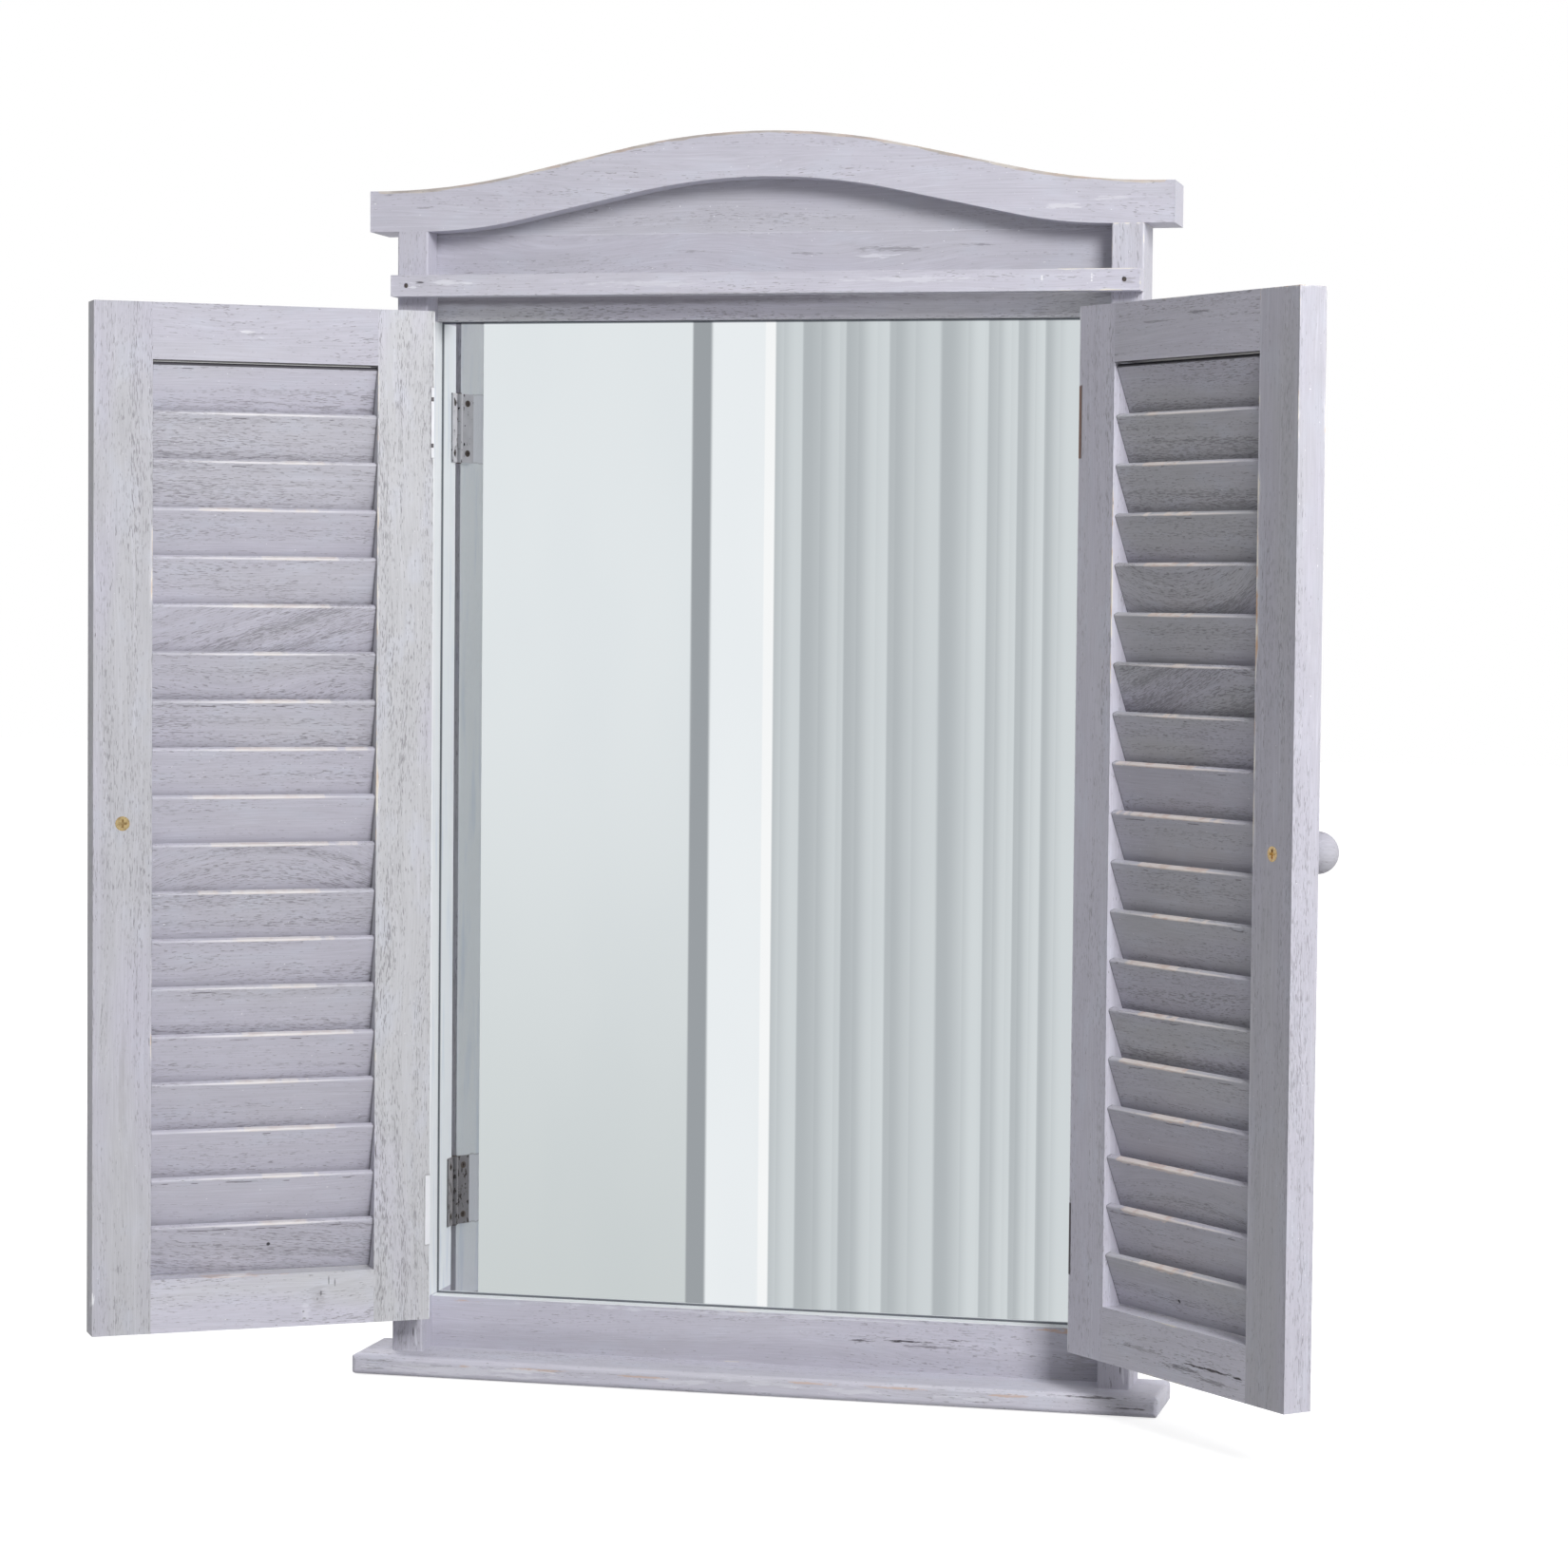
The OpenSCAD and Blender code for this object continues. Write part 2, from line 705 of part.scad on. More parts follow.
module at_knob_screw() {
    translate([far_x - stile_w / 2, inner_y, shutter_bottom + knob_h]) pointing_front() children();
}

module stile(x) {
    translate([x, outer_y, shutter_bottom]) cube([stile_w, shutter_t, shutter_h]);
}

module hinge_stile() {
    color(paint) difference() {
        stile(edge_x);
        slat_row(rail_x - slat_tongue - slat_fit, slat_tongue + slat_fit + cut, slat_fit);
        corner_dowels(bore_fit);
        at_leaf_screws() screw_hole(leaf_head_r, leaf_shank_r, leaf_screw_l);
    }
}

module meeting_stile() {
    color(paint) difference() {
        stile(rail_x + rail_w);
        slat_row(rail_x + rail_w - cut, slat_tongue + slat_fit + cut, slat_fit);
        corner_dowels(bore_fit);
        at_knob_screw() screw_hole(knob_head_r, knob_shank_r, knob_screw_l);
    }
}

// A rail of the shutter, from height z over the height h
module shutter_rail(z, h) {
    color(paint) difference() {
        translate([rail_x, outer_y, z]) cube([rail_w, shutter_t, h]);
        corner_dowels(bore_fit);
    }
}

module slats() {
    color(slat_paint) slat_row(rail_x - slat_tongue, rail_w + 2 * slat_tongue, 0);
}

module knob() {
    foot_h = knob_reach - sqrt((knob_ball / 2) ^ 2 - (knob_foot / 2) ^ 2) + 0.5;
    color(paint) difference() {
        translate([far_x - stile_w / 2, outer_y, shutter_bottom + knob_h]) rotate([90, 0, 0]) {
            translate([0, 0, knob_reach]) sphere(d = knob_ball);
            cylinder(d = knob_foot, h = foot_h);
        }
        at_knob_screw() screw_hole(knob_head_r, knob_shank_r, knob_screw_l);
    }
}

module knob_screw() color(brass) at_knob_screw() screw(knob_head_r, knob_shank_r, knob_screw_l);

module shutter_leaf(z) {
    color(steel) translate([0, 0, z]) leaf(hinge_gap / 2 - leaf_t, 1, 1);
}

module leaf_screws() {
    color(steel) at_leaf_screws() screw(leaf_head_r, leaf_shank_r, leaf_screw_l);
}

module shutter_dowels() color(bare_wood) corner_dowels(0);

module left_hinge_stile() left_shutter() hinge_stile();
module left_meeting_stile() left_shutter() meeting_stile();
module left_top_rail() left_shutter() shutter_rail(open_top, top_rail_h);
module left_bottom_rail() left_shutter() shutter_rail(shutter_bottom, bottom_h);
module left_slats() left_shutter() slats();
module left_knob() left_shutter() knob();
module left_knob_screw() left_shutter() knob_screw();
module left_upper_shutter_leaf() left_shutter() shutter_leaf(hinge_zs[1]);
module left_lower_shutter_leaf() left_shutter() shutter_leaf(hinge_zs[0]);
module left_leaf_screws() left_shutter() leaf_screws();
module left_shutter_dowels() left_shutter() shutter_dowels();

module right_hinge_stile() right_shutter() hinge_stile();
module right_meeting_stile() right_shutter() meeting_stile();
module right_top_rail() right_shutter() shutter_rail(open_top, top_rail_h);
module right_bottom_rail() right_shutter() shutter_rail(shutter_bottom, bottom_h);
module right_slats() right_shutter() slats();
module right_knob() right_shutter() knob();
module right_knob_screw() right_shutter() knob_screw();
module right_upper_shutter_leaf() right_shutter() shutter_leaf(hinge_zs[1]);
module right_lower_shutter_leaf() right_shutter() shutter_leaf(hinge_zs[0]);
module right_leaf_screws() right_shutter() leaf_screws();
module right_shutter_dowels() right_shutter() shutter_dowels();

left_post();
right_post();
cornice();
upper_pediment_board();
lower_pediment_board();
ledge_strip();
header_rail();
bottom_rail();
sill_board();
mirror_glass();
back_panel();
rail_dowels();
cornice_dowels();
sill_screws();
ledge_nails();
back_panel_pins();
left_hanger_plate();
right_hanger_plate();
hanger_screws();
left_upper_frame_leaf();
left_lower_frame_leaf();
right_upper_frame_leaf();
right_lower_frame_leaf();
left_upper_hinge_pin();
left_lower_hinge_pin();
right_upper_hinge_pin();
right_lower_hinge_pin();
frame_leaf_screws();
left_hinge_stile();
left_meeting_stile();
left_top_rail();
left_bottom_rail();
left_slats();
left_knob();
left_knob_screw();
left_upper_shutter_leaf();
left_lower_shutter_leaf();
left_leaf_screws();
left_shutter_dowels();
right_hinge_stile();
right_meeting_stile();
right_top_rail();
right_bottom_rail();
right_slats();
right_knob();
right_knob_screw();
right_upper_shutter_leaf();
right_lower_shutter_leaf();
right_leaf_screws();
right_shutter_dowels();
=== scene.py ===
"""Looks of the shutter mirror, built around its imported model: camera, studio, and a node
material for every piece. Lengths are metres, and millimetres inside the paint's pattern."""
import json
import math

import bpy
import numpy as np
from mathutils import Matrix, Vector


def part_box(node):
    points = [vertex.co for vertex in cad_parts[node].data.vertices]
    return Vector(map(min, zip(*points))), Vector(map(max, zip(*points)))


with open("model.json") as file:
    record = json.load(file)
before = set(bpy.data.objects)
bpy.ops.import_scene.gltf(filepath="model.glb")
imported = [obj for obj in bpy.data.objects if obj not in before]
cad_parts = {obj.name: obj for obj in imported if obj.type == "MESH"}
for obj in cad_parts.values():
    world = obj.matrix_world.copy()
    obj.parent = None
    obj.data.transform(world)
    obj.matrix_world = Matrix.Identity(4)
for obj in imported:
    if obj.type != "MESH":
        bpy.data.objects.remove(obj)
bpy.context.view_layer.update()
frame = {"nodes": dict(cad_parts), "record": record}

NODES = frame["nodes"]
JOINTS = {j["name"]: j for j in frame["record"]["behaviour"]["joints"]}
MM = 0.001
X, Z = Vector((1, 0, 0)), Vector((0, 0, 1))


# ---------------------------------------------------------------- camera
CAMERA_PLACE = (0.52777, -2.21533, -0.18402)
CAMERA_TURNS = (("Z", 0.2319), ("X", -0.0428), ("Y", -0.0093))
CAMERA_LENS, SENSOR_WIDTH = 92.2, 36
CAMERA_SHIFT = (0.0025, -0.0094)


def make_camera():
    """The photograph's place and direction, fitted to the frame's corners in it."""
    turn = Matrix.Identity(3)
    for axis, angle in CAMERA_TURNS:
        turn = turn @ Matrix.Rotation(angle, 3, axis)
    right, forward, up = turn.col
    look = Matrix((right, up, -forward)).transposed().to_4x4()
    data = bpy.data.cameras.new("camera")
    data.sensor_width = SENSOR_WIDTH
    data.lens = CAMERA_LENS
    data.shift_x, data.shift_y = CAMERA_SHIFT
    camera = bpy.data.objects.new("camera", data)
    camera.matrix_world = Matrix.Translation(CAMERA_PLACE) @ look
    bpy.context.scene.collection.objects.link(camera)
    bpy.context.scene.camera = camera


# ---------------------------------------------------------------- node graphs
class Graph:
    """Short calls for one node tree. A value is a number, a tuple, or a socket."""

    def __init__(self, tree):
        self.tree = tree

    def put(self, value, socket):
        if isinstance(value, bpy.types.NodeSocket):
            self.tree.links.new(value, socket)
        elif value is not None:
            wide = len(value) if hasattr(value, "__len__") else 0
            socket.default_value = value[:3] if wide == 4 and socket.type == "VECTOR" else value

    def node(self, kind, inputs=None, **settings):
        made = self.tree.nodes.new("ShaderNode" + kind)
        for name, value in settings.items():
            setattr(made, name, value)
        for key, value in (inputs or {}).items():
            self.put(value, made.inputs[key])
        return made

    def math(self, operation, a, b=None, c=None):
        return self.node("Math", {0: a, 1: b, 2: c}, operation=operation).outputs[0]

    def add(self, a, b):
        return self.math("ADD", a, b)

    def sub(self, a, b):
        return self.math("SUBTRACT", a, b)

    def mul(self, a, b):
        return self.math("MULTIPLY", a, b)

    def fma(self, a, b, c):
        """a times b, plus c."""
        return self.math("MULTIPLY_ADD", a, b, c)

    def size_of(self, value):
        return self.math("ABSOLUTE", value)

    def vmath(self, operation, a, b=None, scale=None):
        made = self.node("VectorMath", {0: a, 1: b}, operation=operation)
        if scale is not None:
            self.put(scale, made.inputs["Scale"])
        return made.outputs["Value" if operation in ("DOT_PRODUCT", "LENGTH") else "Vector"]

    def scaled(self, vector, scale):
        return self.vmath("SCALE", vector, scale=scale)

    def ramp(self, value, low, high, to_low=0.0, to_high=1.0):
        """value from low..high, eased to to_low..to_high and held past both ends."""
        made = self.node("MapRange", {0: value, 1: low, 2: high, 3: to_low, 4: to_high},
                         interpolation_type="SMOOTHSTEP")
        return made.outputs[0]

    def noise(self, vector, size=(1, 1, 1), detail=1.0, rough=0.5):
        """Noise whose cell is size long on each axis."""
        shrunk = self.vmath("MULTIPLY", vector, tuple(1 / s for s in size))
        made = self.node("TexNoise", {"Vector": shrunk, "Scale": 1.0, "Detail": detail,
                                      "Roughness": rough})
        return made.outputs["Fac"]

    def swing(self, *noise):
        """The same noise about zero."""
        return self.sub(self.noise(*noise), 0.5)

    def mix(self, share, a, b):
        return self.node("Mix", {0: share, 6: a, 7: b}, data_type="RGBA").outputs[2]

    def split(self, vector):
        return self.node("SeparateXYZ", {0: vector}).outputs[:3]

    def join(self, x, y, z):
        return self.node("CombineXYZ", {0: x, 1: y, 2: z}).outputs[0]

    def median(self, a, b, c):
        """The middle one of three: on a box's surface, the distance to its nearest arris."""
        return self.math("MAXIMUM", self.math("MINIMUM", a, b),
                         self.math("MINIMUM", self.math("MAXIMUM", a, b), c))

    def object_point(self):
        return self.node("TexCoord").outputs["Object"]

    def object_mm(self):
        return self.scaled(self.object_point(), 1 / MM)

    def surface(self, shader, kind="OutputMaterial"):
        self.put(shader.outputs[0], self.node(kind).inputs["Surface"])


def rgb(*srgb):
    """A colour written as the eye sees it, 0 to 255, as Blender's linear colour."""
    return tuple((c / 255 / 12.92) if c <= 10 else ((c / 255 + 0.055) / 1.055) ** 2.4
                 for c in srgb) + (1.0,)


def new_group(name, inputs, outputs):
    tree = bpy.data.node_groups.new(name, "ShaderNodeTree")
    for label, kind, value in inputs:
        socket = tree.interface.new_socket(label, in_out="INPUT", socket_type="NodeSocket" + kind)
        socket.default_value = value
    for label, kind in outputs:
        tree.interface.new_socket(label, in_out="OUTPUT", socket_type="NodeSocket" + kind)
    graph = Graph(tree)
    return graph, tree.nodes.new("NodeGroupInput").outputs, tree.nodes.new("NodeGroupOutput").inputs


def new_graph(owner):
    """The empty node graph of a material or a world."""
    owner.use_nodes = True
    owner.node_tree.nodes.clear()
    return Graph(owner.node_tree)


def new_material(name):
    material = bpy.data.materials.new(name)
    return material, new_graph(material)


def finish_material(g, colour, rough, height, metallic=None):
    """The shader: linked colour, roughness and bump, and metallic where it is given."""
    normal = g.node("Bump", {"Strength": 0.8, "Distance": MM, "Height": height})
    g.surface(g.node("BsdfPrincipled", {"Base Color": colour, "Roughness": rough,
                                        "Normal": normal.outputs[0], "Metallic": metallic}))


def dress(material, *names):
    """Gives a material to CAD nodes, in every slot they have."""
    for name in names:
        data = NODES[name].data
        for i in range(len(data.materials)):
            data.materials[i] = material
        if not data.materials:
            data.materials.append(material)


# ---------------------------------------------------------------- paint on wood
LAVENDER, GREY, BLUE = rgb(199, 197, 209), rgb(196, 196, 200), rgb(198, 201, 213)
BRUSHED, PORE, FRINGE = rgb(216, 216, 226), rgb(130, 127, 134), rgb(224, 223, 229)
PRIMER, RUBBED_WOOD = rgb(232, 226, 216), rgb(206, 166, 130)
RIM_PALE, RIM_DARK, RIM_TAN = rgb(212, 203, 190), rgb(170, 158, 144), rgb(196, 168, 148)
NICK, SPECK = rgb(96, 90, 92), rgb(238, 238, 240)
# Near-white paint of a board's pale side, full and patchy: a painted highlight on the posts' inner
# faces and the bottom rail's top
PALE_SIDE_FULL, PALE_SIDE_PATCHY = rgb(250, 253, 255), rgb(236, 242, 250)


def aged_paint_group():
    """Thin matt paint brushed on open-pored wood. Point is in millimetres on the board's own
    axes: x along the grain. Edge is the distance to the nearest arris, in millimetres."""
    g, given, out = new_group(
        "aged_paint",
        [("Point", "Vector", (0, 0, 0)), ("Edge", "Float", 50.0), ("Seed", "Float", 0.0),
         ("Pores", "Float", 0.5), ("Figure", "Float", 0.3), ("Wear", "Float", 0.4),
         ("Tan", "Float", 0.3), ("Tone", "Float", 1.0), ("Cool", "Float", 0.5),
         ("Rim", "Float", 0.0)],
        [("Color", "Color"), ("Roughness", "Float"), ("Height", "Float")])
    point, edge, seed = given["Point"], given["Edge"], given["Seed"]
    shifted = g.vmath("ADD", point, g.scaled((71.3, 31.7, 53.9), seed))
    u, v, w = g.split(shifted)

    # The grain lines wander sideways, and a figured board's lines swing wide
    sway = g.swing(shifted, (170, 34, 34), 1.0)
    reach_of_sway = g.fma(given["Figure"], 42.0, 7.0)
    lines = g.join(u, g.fma(sway, reach_of_sway, v), g.fma(sway, 9.0, w))

    # Growth bands and open zones decide where the pores crowd
    bands = g.ramp(g.noise(lines, (520, 5.2, 7.0), 1.5), 0.42, 0.60)
    zones = g.ramp(g.noise(shifted, (150, 20, 20), 1.5), 0.36, 0.66)
    dense = g.fma(bands, 0.07, g.mul(zones, 0.09))
    level = g.sub(g.sub(0.715, dense), g.mul(given["Pores"], 0.13))
    pores = g.ramp(g.sub(g.noise(lines, (4.8, 0.50, 0.50), 1.5, 0.6), level), 0.0, 0.055)
    hair = g.noise(lines, (34, 0.62, 0.62), 3.0, 0.7)
    tone = g.noise(shifted, (230, 42, 42), 2.0)
    cloud = g.noise(shifted, (28, 14, 14), 2.0)
    brush = g.ramp(g.noise(lines, (95, 1.9, 1.9), 2.0), 0.56, 0.74)

    cool = g.ramp(g.fma(given["Cool"], 0.12, tone), 0.48, 0.68)
    colour = g.mix(g.mul(cool, given["Cool"]), LAVENDER, GREY)
    colour = g.mix(g.mul(g.ramp(cloud, 0.50, 0.72), 0.35), colour, BLUE)
    light = g.add(g.fma(g.sub(hair, 0.5), 0.46, 1.0), g.mul(g.sub(cloud, 0.5), 0.12))
    light = g.mul(light, given["Tone"])
    light = g.mul(light, g.sub(1.0, g.mul(bands, g.mul(given["Pores"], 0.06))))
    colour = g.scaled(colour, light)
    colour = g.mix(g.mul(brush, 0.22), colour, BRUSHED)
    colour = g.mix(g.mul(pores, 0.62), colour, PORE)

    # Rubbed arrises: a pale fringe, then primer and bare wood where the rub went through
    reach = g.noise(shifted, (13, 2.6, 2.6), 3.0, 0.62)
    stretch = g.swing(shifted, (62, 400, 400), 1.5)
    score = g.add(g.mul(g.sub(reach, 0.5), 1.5), g.mul(stretch, 2.4))
    score = g.add(score, g.fma(given["Wear"], 1.0, -0.38))
    worn = g.ramp(g.sub(score, g.mul(edge, 0.42)), 0.0, 0.11)
    fringe = g.ramp(g.sub(g.add(score, 0.34), g.mul(edge, 0.30)), 0.0, 0.4)
    colour = g.mix(g.mul(fringe, 0.34), colour, FRINGE)
    under = g.ramp(g.noise(shifted, (16, 3.0, 3.0), 2.0), 0.50, 0.62)
    tan_share = g.mul(under, given["Tan"])
    colour = g.mix(g.mul(worn, 0.92), colour, g.mix(tan_share, PRIMER, RUBBED_WOOD))

    # The rim: a ragged strip without paint along the arrises, as wide as Rim says
    ragged = g.fma(g.swing(shifted, (24, 4, 4), 3.5, 0.65), -3.4, edge)
    rim = g.mul(g.ramp(g.sub(given["Rim"], ragged), 0.0, 0.5), g.math("SIGN", given["Rim"]))
    aged = g.mix(g.ramp(g.noise(shifted, (30, 9, 9), 2.0), 0.42, 0.60), RIM_PALE, RIM_DARK)
    colour = g.mix(g.mul(rim, 0.70), colour, g.mix(tan_share, aged, RIM_TAN))

    # Small dark nicks and white specks, the nicks mostly near the arrises
    nick = g.ramp(g.noise(shifted, (4.2, 0.9, 0.9), 1.0), 0.74, 0.80)
    nick = g.mul(nick, g.ramp(edge, 1.2, 7.0, 1.0, 0.12))
    colour = g.mix(g.mul(nick, 0.7), colour, NICK)
    speck = g.ramp(g.noise(shifted, (1.5, 1.1, 1.1), 0.0), 0.86, 0.89)
    colour = g.mix(g.mul(speck, 0.75), colour, SPECK)

    rough = g.add(g.fma(pores, 0.16, 0.56), g.mul(g.sub(cloud, 0.5), 0.18))
    rough = g.sub(g.fma(worn, 0.12, rough), g.mul(brush, 0.05))
    height = g.fma(hair, 0.035, g.mul(pores, -0.09))
    height = g.sub(g.sub(height, g.mul(worn, 0.10)), g.mul(nick, 0.12))
    height = g.fma(reach, g.ramp(edge, 0.0, 1.6, 0.22, 0.0), height)
    g.put(colour, out["Color"])
    g.put(rough, out["Roughness"])
    g.put(height, out["Height"])
    return g.tree


PAINT = aged_paint_group()

# shade, the smooth dark round mark and the gap's sharp cut are painted shade. Some smears and dark
# cuts are painted light or shade too, where their boards say so.
# A mark's colour, and how far it raises the surface in millimetres
MARKS = {"crack": (rgb(70, 64, 70), -0.25), "scuff": (rgb(238, 238, 242), 0.03),
         "smear": (rgb(226, 226, 234), 0.03), "shade": (rgb(150, 146, 150), 0.0),
         "split": (rgb(52, 47, 52), -0.35), "tan": (rgb(206, 180, 164), -0.04),
         "deep_shade": (rgb(104, 100, 108), 0.0), "gap_cut": (rgb(34, 31, 36), 0.0),
         "white_cut": (rgb(240, 241, 246), 0.0), "brown_cut": (rgb(128, 98, 84), 0.0),
         "dark_cut": (rgb(70, 62, 66), -0.2)}
# How ragged an oval mark is. A kind that ends in "cut" is a sharp rectangle
RAGGED_USUAL, RAGGED = 2.2, {"deep_shade": 0.2, "split": 0.5}
# The noise that breaks a mark up: cell, detail, roughness
BROKEN_USUAL, BROKEN_CRACK = ((11, 1.3, 3), 2.5, 0.65), ((6.5, 0.55, 3), 2.0, 0.6)
SPLIT_WANDER = 2.2


def add_marks(g, point, colour, height, marks):
    """Marks of one board: kind, centre, half length and half width in mm, strength, and the
    side it is on, +1 or -1 along the board's thickness. An oval mark fills about half of its
    length and width, and a rectangle fills them."""
    u, v, w = g.split(point)
    for kind, u0, v0, half_long, half_wide, strength, side in marks:
        tint, rise = MARKS[kind]
        across = v
        if kind == "split":
            across = g.add(v, g.mul(g.swing(point, (11, 30, 30), 2.0), SPLIT_WANDER))
        du = g.math("DIVIDE", g.sub(u, u0), half_long)
        dv = g.math("DIVIDE", g.sub(across, v0), half_wide)
        broken = g.swing(point, *(BROKEN_CRACK if kind == "crack" else BROKEN_USUAL))
        if kind.endswith("cut"):
            away = g.math("MAXIMUM", g.size_of(du), g.size_of(dv))
            mask = g.mul(g.ramp(g.fma(broken, 0.12, away), 0.95, 1.0, 1.0, 0.0), strength)
        else:
            away = g.math("SQRT", g.add(g.mul(du, du), g.mul(dv, dv)))
            ragged = g.mul(broken, RAGGED.get(kind, RAGGED_USUAL))
            mask = g.mul(g.ramp(g.sub(ragged, g.sub(away, 0.55)), 0.0, 0.28), strength)
            mask = g.mul(mask, g.ramp(away, 0.8, 1.15, 1.0, 0.0))
        mask = g.mul(mask, g.math("GREATER_THAN", g.mul(w, side), 0.0))
        colour = g.mix(mask, colour, tint)
        height = g.fma(mask, rise, height)
    return colour, height


def points_of(name):
    return np.array([v.co for v in NODES[name].data.vertices], float)


HELD_END = 60.0  # edge distance at ends that are let into another board
RIM_FADE, RUB_FADE, PALE_SIDE_FADE = 2, 16, 1  # along the grain, in mm


def board(name, along, across, origin=(0, 0, 0), free_ends=True, top=None, marks=(), rub=None,
          pale=None, **settings):
    """Paints a board whose grain runs along one unit vector and whose face lies along another.
    settings are the paint's own inputs, rim given as its width and how far from the middle it
    stays off. top gives the distance to wavy long edges. rub adds wear toward one side of the
    board's width: side, from, to, extra wear, lowest and highest place along the grain. pale
    turns one side near white, given alike but without the wear: on the posts' inner faces and
    the bottom rail's top it is a painted highlight where the light falls, and on the hinge
    stiles a whiter strip along the hinge edge."""
    a, b = Vector(along).normalized(), Vector(across).normalized()
    axes = [a, b, a.cross(b)]
    local = (points_of(name) - np.array(origin)) @ np.array(axes).T
    low, high = local.min(0) / MM, local.max(0) / MM
    middle, half = (low + high) / 2, (high - low) / 2
    seed = float(sum(ord(c) * (i + 3) for i, c in enumerate(name)) % 97)

    material, g = new_material("paint_" + name)
    moved = g.vmath("SUBTRACT", g.object_point(), tuple(origin))
    parts = [g.fma(g.vmath("DOT_PRODUCT", moved, tuple(axis)), 1 / MM, -float(m))
             for axis, m in zip(axes, middle)]
    gaps = [g.sub(float(h), g.size_of(p)) for p, h in zip(parts, half)]
    if not free_ends:
        gaps[0] = HELD_END
    if top:
        gaps[1] = top(g, parts[0], parts[1], float(middle[1]))
    point = g.join(*parts)
    u, v, _ = g.split(point)
    paint = g.node("Group", {"Point": point, "Edge": g.median(*gaps), "Seed": seed},
                   node_tree=PAINT)
    for key, value in settings.items():
        if key == "rim":
            width, span = value
            value = g.mul(g.ramp(g.size_of(u), span, span + RIM_FADE, 1.0, 0.0), width)
        g.put(value, paint.inputs[key.capitalize()])
    if rub:
        side, start, end, extra, lowest, highest = rub
        opening = g.mul(g.ramp(u, lowest, lowest + RUB_FADE, 0.0, extra),
                        g.ramp(u, highest - RUB_FADE, highest, 1.0, 0.0))
        toward = g.ramp(g.mul(v, side), start, end)
        g.put(g.fma(toward, opening, settings["wear"]), paint.inputs["Wear"])
    colour = paint.outputs["Color"]
    # The pale side: near-white over one side, a painted highlight on the posts and the bottom rail
    if pale:
        side, start, end, lowest, highest = pale
        pale_side_mask = g.mul(g.ramp(g.mul(v, side), start, end),
                     g.mul(g.ramp(u, lowest, lowest + PALE_SIDE_FADE),
                           g.ramp(u, highest - PALE_SIDE_FADE, highest, 1.0, 0.0)))
        patchy = g.ramp(g.noise(point, (60, 5, 5), 3.0, 0.6), 0.50, 0.75)
        colour = g.mix(g.mul(pale_side_mask, 0.92), colour, g.mix(patchy, PALE_SIDE_FULL, PALE_SIDE_PATCHY))
    colour, height = add_marks(g, point, colour, paint.outputs["Height"], marks)
    finish_material(g, colour, paint.outputs["Roughness"], height)
    dress(material, name)


# ---------------------------------------------------------------- the standing frame
POST_TOP, CORNICE_END, CORNICE_HALF = 21.5, 44.5, 230.0
# The curves of the cornice's top and of the arch under it: half span, rise, run, crown's share
CORNICE_CROWN, CORNICE_ARCH = (222.0, 30.5, 62.5, 0.5), (195.5, 28.2, 70.0, 0.58)
CURVE_STEPS, CURVE_TALL = 24, 40.0


def swell_height(x, half_span, rise, run, share):
    """Height of an S-curve's edge above its root at x: a crown arc, a straight run and two
    foot arcs, as the cornice is cut."""
    x = abs(x)
    radii = (half_span ** 2 + rise ** 2 - run ** 2) / (2 * rise)
    slope = math.atan2(half_span, radii - rise) - math.atan2(run, radii)
    crown_r = radii * share
    foot_r = radii - crown_r
    crown_x = crown_r * math.sin(slope)
    foot_x = half_span - foot_r * math.sin(slope)
    if x <= crown_x:
        return rise - crown_r + math.sqrt(crown_r ** 2 - x ** 2)
    if x >= half_span:
        return 0.0
    if x >= foot_x:
        return foot_r - math.sqrt(foot_r ** 2 - (half_span - x) ** 2)
    crown_z = rise - crown_r * (1 - math.cos(slope))
    foot_z = foot_r * (1 - math.cos(slope))
    return crown_z + (foot_z - crown_z) * (x - crown_x) / (foot_x - crown_x)


def swell_node(g, value, swell):
    """swell_height over the cornice's half width, as a float curve in millimetres."""
    made = g.node("FloatCurve", {"Value": g.math("DIVIDE", g.size_of(value), CORNICE_HALF)})
    curve = made.mapping.curves[0]
    for i in range(CURVE_STEPS + 1):
        x = i / CURVE_STEPS
        y = swell_height(CORNICE_HALF * i / CURVE_STEPS, *swell) / CURVE_TALL
        if i in (0, CURVE_STEPS):
            curve.points[0 if i == 0 else -1].location = (x, y)
        else:
            curve.points.new(x, y)
    made.mapping.update()
    return g.mul(made.outputs[0], CURVE_TALL)


def cornice_gap(g, u, v, v_middle):
    """Distance to the cornice's wavy top edge, or to its arch below, whichever is nearer."""
    z = g.add(v, v_middle)
    top, arch = swell_node(g, u, CORNICE_CROWN), swell_node(g, u, CORNICE_ARCH)
    above = g.sub(g.add(top, CORNICE_END), z)
    below = g.sub(z, g.add(arch, POST_TOP))
    return g.mul(g.math("MINIMUM", above, g.add(below, 5.0)), 0.96)


